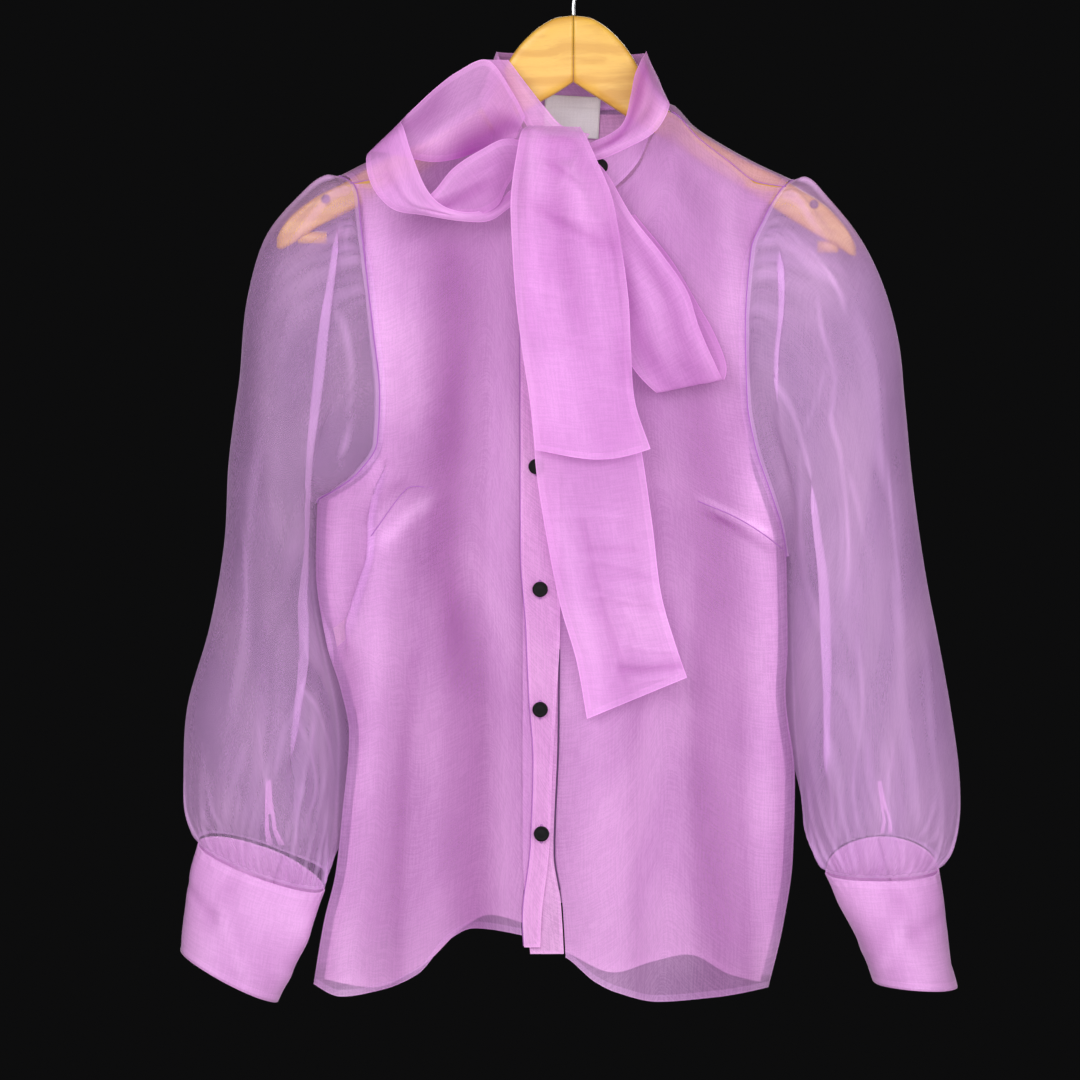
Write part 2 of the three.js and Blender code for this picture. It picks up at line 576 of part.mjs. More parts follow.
// A point of the front or the back at x and z: lift moves it out, less near the edges, and offset all over
function bodyPoint(face, x, z, lift = 0, offset = 0) {
  const side = x > BODY_CENTRE ? sides.left : sides.right;
  const edgeX = side[`${face}X`](z);
  const edgeY = side[`${face}Y`](z);
  const share = Math.min(1, Math.abs((x - BODY_CENTRE) / (edgeX - BODY_CENTRE)));
  const bulge = (1 - share ** ROUNDNESS) ** FLATNESS;
  const front = face === "front";
  const out = front ? -1 : 1;
  const full = mix(edgeY, depth[face](z), bulge);
  const below = smoothstep((front ? seamLine(x) : ridge(x)) - z, 0, SHOULDER_BLEND[face]);
  const held = front ? 1 - below : (1 - below) * smoothstep(Math.abs(x), 30, 80);
  const y = mix(full, front ? SHOULDER_FRONT : SHOULDER_BACK, held * Math.sign(bulge));
  const folds = foldHeight(front ? FOLDS : BACK_FOLDS, x, z);
  return new THREE.Vector3(x, y + out * (bulge * (folds + lift) + offset), z);
}

// One front panel between two edges across, from its top line to its hem
function frontGrid({ inner, outer, top, hem, columns, rows, lift = 0, offset = 0 }) {
  return rows.map((fall) =>
    range(columns).map((j) => {
      const share = Math.sin((j / (columns - 1)) * (Math.PI / 2));
      const topX = mix(inner(0), outer(0), share);
      const hemX = mix(inner(FRONT_HEM[0].z), outer(FRONT_HEM[0].z), share);
      const z = mix(top(topX), hem(hemX), fall);
      return bodyPoint("front", mix(inner(z), outer(z), share), z, lift, offset);
    }),
  );
}

const frontHem = curve(FRONT_HEM, "x", "z");
const liningHem = curve(LINING_HEM, "x", "z");
const placketLow = curve(PLACKET_TOP, "z", "low");
const placketHigh = curve(PLACKET_TOP, "z", "high");
const underLow = curve(PLACKET_UNDER, "z", "low");
const underHigh = curve(PLACKET_UNDER, "z", "high");

function fronts() {
  const shape = { top: frontTop, hem: frontHem, columns: 11, rows: ROWS };
  const right = frontGrid({
    ...shape,
    inner: (z) => placketLow(z) - PLACKET_GAP,
    outer: sides.right.frontX,
    lift: FRONT_LAP,
  });
  const left = frontGrid({ ...shape, inner: (z) => underHigh(z) + PLACKET_GAP, outer: sides.left.frontX });
  add("front_right", wall(right, SHELL), SHEER());
  add("front_left", wall(left, SHELL), SHEER());
}

const liningInset = (z) => mix(LINING_ARMHOLE_INSET, LINING_INSET, smoothstep(-z, 370, 415));

function linings() {
  const shape = {
    top: (x) => frontTop(x) - LINING_TOP,
    hem: liningHem,
    columns: 9,
    rows: LINING_ROWS,
  };
  const right = frontGrid({
    ...shape,
    inner: (z) => underLow(z) - PLACKET_GAP,
    outer: (z) => sides.right.frontX(z) + liningInset(z),
    offset: -LINING_DROP,
  });
  const left = frontGrid({
    ...shape,
    inner: (z) => underHigh(z) + PLACKET_GAP,
    outer: (z) => sides.left.frontX(z) - liningInset(z),
    offset: -LINING_DROP,
  });
  add("lining_right", wall(right, LINING_WALL), INNER());
  add("lining_left", wall(left, LINING_WALL), INNER());
}

// A placket: a folded strip on the front's surface, between its two edges
function placket(name, low, high, hem, lift) {
  const columns = 4;
  const rows = 20;
  const top = PLACKET_TOP[0].z;
  const grid = range(rows).map((i) =>
    range(columns).map((j) => {
      const share = j / (columns - 1);
      const z = mix(frontTop(mix(low(top), high(top), share)), hem, i / (rows - 1));
      return bodyPoint("front", mix(low(z), high(z), share), z, lift);
    }),
  );
  add(name, wall(grid, PLACKET_WALL), SHEER());
}

// How the cloth passes over the hanger beside the neck, from the forward shoulder seam over the ridge
const OVER = [
  { y: SHOULDER_FRONT, z: (x) => frontTop(x) + SHELL },
  { y: -9, z: (x) => ridge(x) - 2.5 },
  { y: 0, z: (x) => ridge(x) },
  { y: 10, z: (x) => ridge(x) - 3 },
];
const OVER_SHARES = [0, 0.02, 0.1, 0.25, 0.5, 0.75, 1]; // places of its points, from the armhole to the neck

function overPoint(row, start, side) {
  const endZ = row.z(side.backX(0));
  const endX = (row.y < 0 ? side.frontX : side.backX)(endZ);
  const neck = Math.sign(start) * NECK_HALF;
  const x = mix(neck, endX, (start - neck) / (side.backX(0) - neck));
  return new THREE.Vector3(x, row.y, row.z(x));
}

// The back, from its top rows down. over holds the rows that pass over the shoulder, none on the lining.
function backGrid({ over, rows, hem, drop, inset }) {
  const low = 20;
  const neckColumns = 7;
  const edge = (side, z) => side.backX(z) - Math.sign(side.backX(z)) * inset(z);
  const shoulder = (side, neck) => OVER_SHARES.map((share) => mix(edge(side, 0), neck, share));
  const starts = [
    ...shoulder(sides.right, -NECK_HALF),
    ...range(neckColumns).map((j) => mix(1 - NECK_HALF, NECK_HALF - 1, j / (neckColumns - 1))),
    ...shoulder(sides.left, NECK_HALF).reverse(),
  ];
  const isNeck = (start) => Math.abs(start) < NECK_HALF;
  const sideAt = (start) => (start > BODY_CENTRE ? sides.left : sides.right);
  const top = over.map((row) =>
    starts.map((start) => (isNeck(start) ? null : overPoint(row, start, sideAt(start)))),
  );
  const body = rows.map((fall) =>
    starts.map((start) => {
      const side = sideAt(start);
      const topZ = isNeck(start) ? BACK_NECK_Z - drop : ridge(start) - low;
      const z = mix(topZ, hem(start), fall);
      const share = (start - BODY_CENTRE) / (edge(side, 0) - BODY_CENTRE);
      return bodyPoint("back", mix(BODY_CENTRE, edge(side, z), share), z, 0, -drop);
    }),
  );
  return [...top, ...body];
}

function backs() {
  const hem = curve(BACK_HEM, "x", "z");
  const outer = backGrid({ over: OVER, rows: ROWS, hem, drop: 0, inset: () => 0 });
  add("back_panel", wall(outer, SHELL), SHEER());
  const inner = backGrid({
    over: [],
    rows: LINING_ROWS,
    hem: (x) => hem(x) + LINING_BACK_HEM,
    drop: LINING_DROP,
    inset: liningInset,
  });
  add("lining_back", wall(inner, LINING_WALL), INNER());
}

// A closed ring between an outer and an inner edge, its front at -Y
function ring(row, count, ripple = () => 0) {
  const centre = new THREE.Vector3((row.outX + row.inX) / 2, 0, (row.outZ + row.inZ) / 2);
  const reach = new THREE.Vector3((row.outX - row.inX) / 2, 0, (row.outZ - row.inZ) / 2);
  return range(count).map((k) => {
    const angle = (2 * Math.PI * k) / count;
    const wave = 1 + ripple(angle);
    const point = centre.clone().addScaledVector(reach, Math.cos(angle) * wave);
    point.y -= Math.sin(angle) * row.depth * wave;
    point.z += Math.sin(angle) * (Math.sin(angle) > 0 ? row.front ?? 0 : -(row.back ?? 0));
    point.x -= (row.bow ?? 0) * Math.abs(Math.sin(angle)) ** 1.4 * smoothstep(Math.cos(angle), -0.9, 0.1);
    return point;
  });
}

// The armhole's edge as a ring, moved off the body by the seam's space: sideways, and up at the underarm
function armholeRing(side, rows, out) {
  const top = rows[0].z;
  const bottom = rows.find((row) => row.frontY > -1).z;
  return range(SLEEVE_POINTS).map((k) => {
    const angle = (2 * Math.PI * k) / SLEEVE_POINTS;
    const z = mix(bottom, top, (1 + Math.cos(angle)) / 2);
    const face = Math.sin(angle) > 0 ? "front" : "back";
    const rise = 1 - smoothstep(z, bottom, bottom + 70);
    const gap = SEAM + SHELL * mix(1.3, 1.8, rise);
    const away = new THREE.Vector3(out * (1 - 0.5 * rise), 0, rise).normalize();
    return new THREE.Vector3(side[`${face}X`](z), side[`${face}Y`](z), z).addScaledVector(away, gap);
  });
}

function sleeve(name, rows, side, edgeRows, out) {
  const last = rows.length - 1;
  const grid = [armholeRing(side, edgeRows, out)];
  rows.forEach((row, i) => {
    const cap = Math.max(0, 1 - i / 4);
    const foot = Math.max(0, 1 - (last - i) / 3) * (i === last ? 0.6 : 1);
    grid.push(
      ring(row, SLEEVE_POINTS, (angle) => {
        const upper = Math.max(0, Math.cos(angle)) * cap;
        const pleats = Math.cos(angle * CAP_GATHERS) * upper + Math.cos(angle * CUFF_GATHERS) * foot;
        return (GATHER_HEIGHT / row.depth) * pleats;
      }),
    );
  });
  add(name, wall(grid, SHELL, true), SHEER());
}

function cuff(name, rows) {
  const grid = rows.map((row) => ring(row, CUFF_POINTS));
  add(name, wall(grid, FOLDED, true), CUFF());
}

// A binding strip on the back wall of its sleeve, clear of the gathers
function slitBinding(name, rows, sleeveRows) {
  const steps = 6;
  const [tip, foot] = [rows[0].ring, rows[rows.length - 1].ring];
  const turn = curve(rows, "ring", "turn");
  const width = curve(rows, "ring", "width");
  const onSleeve = (place) => {
    const i = Math.min(Math.floor(place), sleeveRows.length - 2);
    const turned = Math.round(turn(place));
    const [above, below] = [sleeveRows[i], sleeveRows[i + 1]].map((row) => ring(row, 360)[turned]);
    return above.lerp(below, place - i);
  };
  const grid = range(steps + 1).map((i) => {
    const place = mix(tip, foot, i / steps);
    const middle = onSleeve(place);
    const lift = SHELL + SEAM + GATHER_HEIGHT * mix(0.3, 2.9, smoothstep(place, tip + 1, foot - 0.2));
    return [-0.5, 0, 0.5].map((side) => {
      return new THREE.Vector3(middle.x + side * width(place), middle.y + lift, middle.z);
    });
  });
  add(name, wall(grid, BINDING_WALL), CUFF());
}

// A strip of folded cloth through rows of two edges, crowned across by its own softness
function ribbon(name, rows, { steps, columns = 5, crown = 2, thickness = FOLDED, material = TIE() }) {
  const place = (row, key) => new THREE.Vector3(row[`${key}x`], row[`${key}y`], row[`${key}z`]);
  const edge = (key) => new THREE.CatmullRomCurve3(rows.map((row) => place(row, key)));
  const [a, b] = [edge("a"), edge("b")];
  const grid = range(steps + 1).map((i) =>
    range(columns).map((j) => {
      const share = j / (columns - 1);
      const point = a.getPoint(i / steps).lerp(b.getPoint(i / steps), share);
      point.y -= crown * Math.sin(Math.PI * share);
      return point;
    }),
  );
  return add(name, wall(grid, thickness), material);
}

// The band's rows with their lower edge on the neckline seam
function bandRows() {
  return COLLAR_BAND.map((row) => {
    const z = row.face === "front" ? frontTop(row.x) : BACK_NECK_Z;
    const foot = bodyPoint(row.face, row.x, z);
    const away = Math.abs(row.x);
    const inward = BAND_INWARD * Math.min(1, away / 45);
    const overSlope = 2 * Math.sin(Math.PI * Math.min(1, away / 50)) + 2.3 * smoothstep(away, 55, 68);
    const height = foot.z + SEAM + SHELL + overSlope;
    return { ...row, bx: foot.x - Math.sign(row.x) * inward, by: foot.y, bz: height };
  });
}

function collarAndTie() {
  const flat = { columns: 3, crown: 0, thickness: BAND_WALL, material: SHEER() };
  ribbon("collar_band", bandRows(), { steps: 30, ...flat });
  ribbon("tie_neck_left", TIE_NECK_LEFT, { steps: 12, columns: 5, crown: 2 });
  ribbon("tie_neck_right", TIE_NECK_RIGHT, { steps: 10, columns: 4, crown: 1 });
  ribbon("tie_loop_right", TIE_LOOP_RIGHT, { steps: 26, columns: 5, crown: 1.5 });
  ribbon("tie_loop_return", TIE_LOOP_RETURN, { steps: 10, columns: 5, crown: 1.5 });
  ribbon("tie_loop_left", TIE_LOOP_LEFT, { steps: 22, columns: 5, crown: 0.5 });
  ribbon("tie_tail_front", TIE_TAIL_FRONT, { steps: 16, columns: 5, crown: 2 });
  ribbon("tie_tail_back", TIE_TAIL_BACK, { steps: 16, columns: 5, crown: 1 });
  const knot = mergeVertices(bare(new THREE.SphereGeometry(1, 14, 9)));
  knot.scale(KNOT.radiusX, KNOT.radiusY, KNOT.radiusZ);
  add("tie_knot", knot, TIE()).position.set(KNOT.x, KNOT.y, KNOT.z);
}

// A geometry with its positions alone, so that shared corners can be merged
function bare(geometry) {
  geometry.deleteAttribute("normal");
  geometry.deleteAttribute("uv");
  return geometry;
}

function label() {
  const height = LABEL.top - LABEL.bottom;
  const tab = new THREE.BoxGeometry(LABEL.width, LABEL.wall, height);
  const mesh = add("neck_label", tab, finish(0xebe6e6, 0.8));
  mesh.position.set(LABEL.x, LABEL.y, LABEL.bottom + height / 2);
  mesh.rotation.y = THREE.MathUtils.degToRad(LABEL.tilt);
}

// A flat round button with a raised rim, its axis along Y and its face at the front or at the back
function buttonGeometry(face = "front") {
  const profile = [
    [0, 0],
    [BUTTON_RADIUS - 0.5, 0],
    [BUTTON_RADIUS, 0.7],
    [BUTTON_RADIUS, BUTTON_THICK - 0.5],
    [BUTTON_RADIUS - 1, BUTTON_THICK],
    [0, BUTTON_THICK - 0.5],
  ].map(([radius, height]) => new THREE.Vector2(radius, height));
  const geometry = mergeVertices(bare(new THREE.LatheGeometry(profile, BUTTON_POINTS)));
  if (face === "front") geometry.rotateX(Math.PI);
  return geometry;
}

function buttons() {
  const black = () => finish(0x231e2d, 0.35);
  const lift = FRONT_LAP + PLACKET_WALL / 2 + SEAM * 2;
  add("button_1", buttonGeometry(), black()).position.set(NECK_BUTTON.x, NECK_BUTTON.y, NECK_BUTTON.z);
  for (const { name, x, y, z } of CUFF_BUTTONS) {
    add(name, buttonGeometry("back"), black()).position.set(x, y, z);
  }
  BUTTONS.forEach((place, i) => {
    const seat = bodyPoint("front", place.x, place.z, lift);
    add(`button_${i + 2}`, buttonGeometry(), black()).position.copy(seat);
  });
}

// A solid as a three.js geometry, and back
function solid(geometry) {
  const merged = mergeVertices(bare(geometry.clone()));
  return new Manifold(
    new Mesh({
      numProp: 3,
      vertProperties: new Float32Array(merged.attributes.position.array),
      triVerts: new Uint32Array(merged.index.array),
    }),
  );
}

function geometryOf(body) {
  const mesh = body.getMesh();
  return closedBody(Array.from(mesh.vertProperties), Array.from(mesh.triVerts));
}

// One arm of the hanger: rounded sections along it, with its bar end joined and its hole cut
function hangerArm(name, rows, bar, hole) {
  const sections = rows.map((row) =>
    range(ARM_POINTS).map((k) => {
      const angle = (2 * Math.PI * (k + 0.5)) / ARM_POINTS;
      const soft = (value) => Math.sign(value) * Math.abs(value) ** 0.45;
      const z = mix(row.bottom, row.top, (1 + soft(Math.sin(angle))) / 2);
      return new THREE.Vector3(row.x, row.half * soft(Math.cos(angle)), z);
    }),
  );
  const positions = sections.flat().flatMap((point) => point.toArray());
  const index = [];
  for (let i = 0; i < sections.length - 1; i += 1) {
    for (let k = 0; k < ARM_POINTS; k += 1) {
      const next = (k + 1) % ARM_POINTS;
      const [a, b] = [i * ARM_POINTS + k, i * ARM_POINTS + next];
      index.push(a, b, b + ARM_POINTS, a, b + ARM_POINTS, a + ARM_POINTS);
    }
  }
  const foot = (sections.length - 1) * ARM_POINTS;
  for (let k = 1; k < ARM_POINTS - 1; k += 1) {
    index.push(0, k + 1, k, foot, foot + k, foot + k + 1);
  }
  const arm = solid(closedBody(positions, index));
  const stub = new THREE.CylinderGeometry(BAR_RADIUS, BAR_RADIUS, Math.abs(bar.outer - bar.inner), 14);
  stub.rotateZ(Math.PI / 2);
  stub.translate((bar.inner + bar.outer) / 2, 0, bar.z);
  const drill = new THREE.CylinderGeometry(HOLE_RADIUS, HOLE_RADIUS, DRILL_LENGTH, 12);
  drill.translate(hole.x, 0, hole.z);
  const cut = arm.add(solid(stub)).subtract(solid(drill));
  add(name, geometryOf(cut), WOOD());
}

function hanger() {
  hangerArm("hanger_left", HANGER_LEFT, BARS.left, HOLES.left);
  hangerArm("hanger_right", HANGER_RIGHT, BARS.right, HOLES.right);
  const line = new THREE.CatmullRomCurve3(HOOK_LINE.map((point) => new THREE.Vector3(point.x, 0, point.z)));
  const section = new THREE.Shape().absarc(0, 0, WIRE / 2, 0, 2 * Math.PI);
  const wire = new THREE.ExtrudeGeometry(section, { steps: 28, curveSegments: 4, extrudePath: line });
  add("hanger_hook", mergeVertices(bare(wire)), finish(0xb9bcc0, 0.3, 0.9));
}

fronts();
linings();
placket("placket_top", placketLow, placketHigh, PLACKET_TOP[7].z + 1, FRONT_LAP);
placket("placket_under", underLow, underHigh, PLACKET_UNDER[4].z + 4, 0);
backs();
sleeve("sleeve_left", SLEEVE_LEFT, sides.left, SIDE_LEFT, 1);
sleeve("sleeve_right", SLEEVE_RIGHT, sides.right, SIDE_RIGHT, -1);
cuff("cuff_left", CUFF_LEFT);
cuff("cuff_right", CUFF_RIGHT);
slitBinding("slit_left", SLIT_LEFT, SLEEVE_LEFT);
slitBinding("slit_right", SLIT_RIGHT, SLEEVE_RIGHT);
collarAndTie();
label();
buttons();
hanger();

export default group;
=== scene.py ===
"""A long sleeve tie-neck blouse of sheer cloth on a wooden hanger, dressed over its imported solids."""
import math

import bpy
import numpy as np
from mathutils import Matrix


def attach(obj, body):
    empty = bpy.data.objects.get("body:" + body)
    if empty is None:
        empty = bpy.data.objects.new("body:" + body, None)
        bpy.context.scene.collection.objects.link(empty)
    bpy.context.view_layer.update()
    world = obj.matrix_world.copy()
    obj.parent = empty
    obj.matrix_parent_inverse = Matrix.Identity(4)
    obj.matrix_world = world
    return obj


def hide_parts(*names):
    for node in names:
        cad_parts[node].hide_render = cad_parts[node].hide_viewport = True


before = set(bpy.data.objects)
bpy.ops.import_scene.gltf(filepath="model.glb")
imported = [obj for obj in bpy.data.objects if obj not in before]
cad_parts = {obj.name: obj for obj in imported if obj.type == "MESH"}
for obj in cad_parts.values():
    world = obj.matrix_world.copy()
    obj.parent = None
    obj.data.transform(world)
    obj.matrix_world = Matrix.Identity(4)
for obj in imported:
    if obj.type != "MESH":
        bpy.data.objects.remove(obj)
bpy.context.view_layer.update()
MM = 0.001  # the tables are in millimetres

# Camera: it looks along +Y, and its picture is VIEW_SIDE across at the plane y = VIEW_PLANE
VIEW_X, VIEW_Z, VIEW_SIDE, VIEW_PLANE, DISTANCE = -25.1, -458.0, 810.0, -40.0, 8000.0
camera = bpy.data.objects.new("camera", bpy.data.cameras.new("camera"))
bpy.context.scene.collection.objects.link(camera)
bpy.context.scene.camera = camera
camera.location = (VIEW_X * MM, (VIEW_PLANE - DISTANCE) * MM, VIEW_Z * MM)
camera.rotation_euler = (math.pi / 2, 0, 0)
camera.data.sensor_width = 36
camera.data.lens = 36 * DISTANCE / VIEW_SIDE
camera.data.clip_start, camera.data.clip_end = 1, 100


def table(names, rows):
    return dict(zip(names.split(), np.array(rows, float).T))


# The blouse's form, as its solids have it. Left and right are the wearer's, and the left is at +X.
SIDE_LEFT = table("z frontX frontY backX backY", [
    (-186.5, 165, -2, 165, -1), (-192.5, 157.5, -16, 161, 13), (-203, 150, -22, 152, 20),
    (-215, 143.5, -26, 146, 25), (-240, 133, -32, 136, 30), (-300, 128.6, -37, 131, 35),
    (-353, 130, -37, 131, 35), (-385, 135.4, -34, 135, 33), (-427, 149.6, -22, 149, 21),
    (-450, 157, -10, 156, 10), (-471, 160.5, -0.6, 160.5, 0.6), (-538, 161.6, -0.6, 161.6, 0.6),
    (-572, 160, -0.6, 160, 0.6), (-637, 167, -0.6, 167, 0.6), (-698, 165.4, -0.6, 165.4, 0.6),
    (-746, 158.6, -0.6, 158.6, 0.6), (-797, 146.6, -0.6, 146.6, 0.6),
])
SIDE_RIGHT = table("z frontX frontY backX backY", [
    (-183.5, -176, -2, -176, -1), (-190, -165, -16, -170, 13), (-200, -161.5, -22, -163, 20),
    (-215, -160, -26, -161, 25), (-240, -157, -31, -158, 29), (-300, -150, -36, -152, 34),
    (-350, -145, -36, -147, 34), (-385, -147, -31, -148, 30), (-408, -162, -20, -162, 19),
    (-420, -178, -10, -178, 9), (-430, -193, -0.6, -193, 0.6), (-480, -194, -0.6, -194, 0.6),
    (-536, -186, -0.6, -186, 0.6), (-572, -175, -0.6, -175, 0.6), (-604, -169, -0.6, -169, 0.6),
    (-662, -174, -0.6, -174, 0.6), (-708, -179, -0.6, -179, 0.6), (-746, -188, -0.6, -188, 0.6),
    (-800, -197, -0.6, -197, 0.6),
])
BODY_DEPTH = table("z front back", [
    (-125, -34, 38), (-192, -38, 38), (-260, -42, 40), (-385, -46, 44), (-500, -48, 46), (-650, -49, 48),
    (-805, -52, 50),
])
FRONT_TOP = table("x z", [
    (-165, -190), (-140, -184), (-94, -154), (-72, -136), (-60, -154), (-50, -176), (-30, -198),
    (-5, -212), (30, -198), (50, -176), (60, -154), (72, -136), (94, -156), (118, -174.5), (138, -189),
    (157.5, -192.5),
])
FRONT_HEM = table("x z", [
    (-197, -792), (-174, -801), (-144, -795.5), (-117, -783), (-97, -759), (-76, -749), (-38, -754),
    (-29, -762), (-7, -770), (16, -789), (33, -797), (64, -804), (109, -801), (147, -795),
])
LINING_HEM = table("x z", [
    (-197, -787), (-150, -794), (-117, -779), (-81, -747), (-62, -739), (-38, -744), (-3, -768),
    (30, -782), (57, -774), (82, -769), (115, -784), (147, -792),
])
BACK_HEM = table("x z", [
    (-197, -786), (-150, -770), (-100, -745), (0, -733), (90, -748), (130, -774), (147, -786),
])
SHOULDER_RIDGE = table("x z", [
    (-176, -183.5), (-155, -173), (-114, -157), (-72, -129), (72, -129), (92, -147), (114, -161),
    (138, -174), (165, -186.5),
])
PLACKET_TOP = table("z low high", [
    (-208, -40, -10), (-469, -39.4, -10), (-521, -35.6, -10), (-572, -33.4, -12.5), (-624, -30, -15.5),
    (-687, -32, -18), (-741, -38, -24), (-764, -37, -25),
])
PLACKET_UNDER = table("z low high", [
    (-208, -38, -9), (-606, -38, -12), (-692, -38, -15), (-730, -36, -9.5), (-772, -32, -7),
])
SLEEVE_LEFT = table("outX outZ inX inZ depth bow front back", [
    (177, -186, 164.5, -470.5, 43, 34, 0, 0), (190, -198, 165, -487, 47, 26, 0, 0),
    (213.4, -225, 165.5, -505, 51, 16, 0, 0), (232, -261, 166.5, -525, 53, 8, 0, 0),
    (245, -307, 167, -548, 54, 2, 0, 0), (250, -355, 168, -572, 54, 0, 0, 0),
    (256, -417, 169, -600, 54, 0, 0, 0), (266, -486.5, 171, -626, 54, 0, 0, 0),
    (276, -538, 172.5, -648, 54, 0, 0, 0), (284.6, -586, 174, -666, 52, 0, 0, 0),
    (291, -633, 176, -681, 50, 0, 0, 0), (291.5, -665, 181, -694, 46, 0, -4, 8),
    (285, -692, 186.5, -702, 38, 0, -6, 17), (275, -705.5, 190, -706.5, 28, 0, -6, 25),
])
SLEEVE_RIGHT = table("outX outZ inX inZ depth bow front back", [
    (-189, -185, -197, -432, 42, -30, 0, 0), (-205, -197, -198.5, -450, 46, -22, 0, 0),
    (-230.6, -226, -199.5, -472, 50, -13, 0, 0), (-246, -276.5, -197.5, -503, 52, -6, 0, 0),
    (-251.6, -336, -192.5, -534, 54, 0, 0, 0), (-256, -368, -187, -558, 54, 0, 0, 0),
    (-260, -402.5, -182, -582, 54, 0, 0, 0), (-263, -459.5, -179.5, -606, 54, 0, 0, 0),
    (-274, -523, -179.5, -632, 53, 0, 0, 0), (-291, -584, -180.5, -656, 51, 0, 0, 0),
    (-294, -630, -182, -678, 46, 0, 0, 0), (-293, -660, -184, -696, 38, 0, -5, 4),
    (-288, -675, -186, -709, 28, 0, -8, 10), (-282.5, -685, -187.5, -719, 17, 0, -9, 15),
])
CUFF_LEFT = table("outX outZ inX inZ depth front back", [
    (275, -708, 190, -709, 26, -6, 26), (279, -735, 203, -735, 30, -5, 22),
    (282, -766, 215.6, -761, 33, -4, 18), (289, -795, 226, -790, 35, -4, 15),
])
CUFF_RIGHT = table("outX outZ inX inZ depth front back", [
    (-282.5, -687.5, -187.5, -721.5, 15, -9, 15), (-289, -712, -195, -742, 19, -8, 13),
    (-292, -735, -203, -763, 23, -7, 11), (-296, -767, -223, -805, 28, -6, 10),
])
SLIT_LEFT = table("ring turn width", [
    (9.5, 271, 3), (11.2, 272, 7), (12.5, 272, 11),
])
SLIT_RIGHT = table("ring turn width", [
    (9.5, 264, 4), (11, 260, 9), (12.5, 257, 14),
])
COLLAR_BAND = table("face x ax ay az", [
    (1, -8, -2, -45, -178), (1, 12, 12, -45, -170), (1, 31, 27, -43, -160), (1, 50, 41, -35, -139),
    (1, 61, 50, -25, -111), (1, 71, 55, -13, -94), (-1, 71.5, 54, 6, -91), (-1, 61, 48, 18, -91),
    (-1, 36, 32, 29, -91), (-1, 0, 0, 34, -91), (-1, -36, -34, 29, -90), (-1, -61, -51, 18, -90),
    (-1, -71.5, -57, 6, -90), (1, -71, -57, -13, -92), (1, -61, -50, -25, -111), (1, -50, -43, -35, -139),
    (1, -33, -30, -43, -160), (1, -16, -13, -45, -172),
])
TIE_NECK_LEFT = table("ax ay az bx by bz", [
    (55, -14, -90, 64, -14.2, -111.5), (50.6, -29, -98, 69, -26.5, -124), (46, -37, -109, 72, -36, -132),
    (43, -45, -124, 62, -43, -151), (36, -51, -147, 39, -51, -165), (14, -55, -160, 16, -56, -174),
    (3, -62.5, -162, 3.5, -63.3, -172),
])
TIE_NECK_RIGHT = table("ax ay az bx by bz", [
    (-49, -21, -97, -60, -18, -97), (-32, -37, -120, -41, -36, -121), (-22, -46, -133, -32, -46, -137),
    (-8, -50, -148, -21, -50, -157), (12, -51.9, -154, 8, -51.9, -163),
])
TIE_LOOP_RIGHT = table("ax ay az bx by bz", [
    (-36, -54, -141, -43, -54, -157), (-46, -50, -122, -52, -53, -160), (-65, -45, -98, -66, -52, -165),
    (-87, -46, -107, -89, -53, -173), (-103, -48, -119, -106, -54, -175),
    (-117, -51, -132, -124, -55, -172), (-126, -56, -141, -142, -57, -168),
    (-129, -62, -145, -153, -62, -168), (-127, -70, -150, -155, -69, -177),
    (-120, -77, -172, -150, -74, -195), (-109, -79, -197, -135, -75, -211),
    (-98, -76, -208, -112, -73, -215.5), (-80, -71, -213, -82, -70, -220),
])
TIE_LOOP_RETURN = table("ax ay az bx by bz", [
    (-104, -72.4, -197, -86, -69.4, -214), (-90, -67, -180, -68, -65, -214),
    (-69, -64, -166, -56, -63, -207), (-52, -63, -158, -50, -63, -194),
    (-34.6, -67, -160, -34.6, -67, -172),
])
TIE_LOOP_LEFT = table("ax ay az bx by bz", [
    (5.4, -67, -167, -1, -67, -176.6), (22, -64, -180, 8, -64, -190), (44, -63, -216, 12, -64, -224),
    (66, -64, -244, 20, -65, -262), (85, -65, -272, 28, -66, -292), (94, -65, -299, 36, -66, -314),
    (105, -62, -324, 47, -63, -333), (112.5, -57, -338, 62.6, -58, -348),
    (114.5, -52, -328, 58, -52, -338), (106, -50, -304, 44, -50.5, -314), (93, -49.5, -281, 34, -50, -290),
    (74, -49, -249, 24, -49.5, -256), (46, -48.5, -214, 14, -49, -220),
])
TIE_TAIL_FRONT = table("ax ay az bx by bz", [
    (-34, -63, -148, 5, -63, -149), (-39, -75, -153, 10, -75, -158), (-43, -81, -172, 18, -81, -176),
    (-47, -82, -203, 28, -82, -200), (-46, -80, -238, 34.5, -80, -232), (-43, -78, -280, 41, -77, -278),
    (-38, -76, -320, 43, -75, -318), (-33, -74, -352, 46, -73, -355), (-29, -72, -391, 57.5, -71, -390),
])
TIE_TAIL_BACK = table("ax ay az bx by bz", [
    (-26, -69, -177.4, -4, -69, -177.4), (-34, -70, -190, 0, -71, -190), (-36, -71, -240, 26, -71.5, -236),
    (-34, -70, -300, 36, -70, -300), (-31, -67, -360, 44, -66, -352), (-28, -63, -406, 52, -63, -398),
    (-20, -59, -457, 59, -59, -446), (-10, -57, -507, 66, -57, -500), (2, -57, -548, 77, -57, -538),
    (10, -58, -592, 85, -58, -561),
])
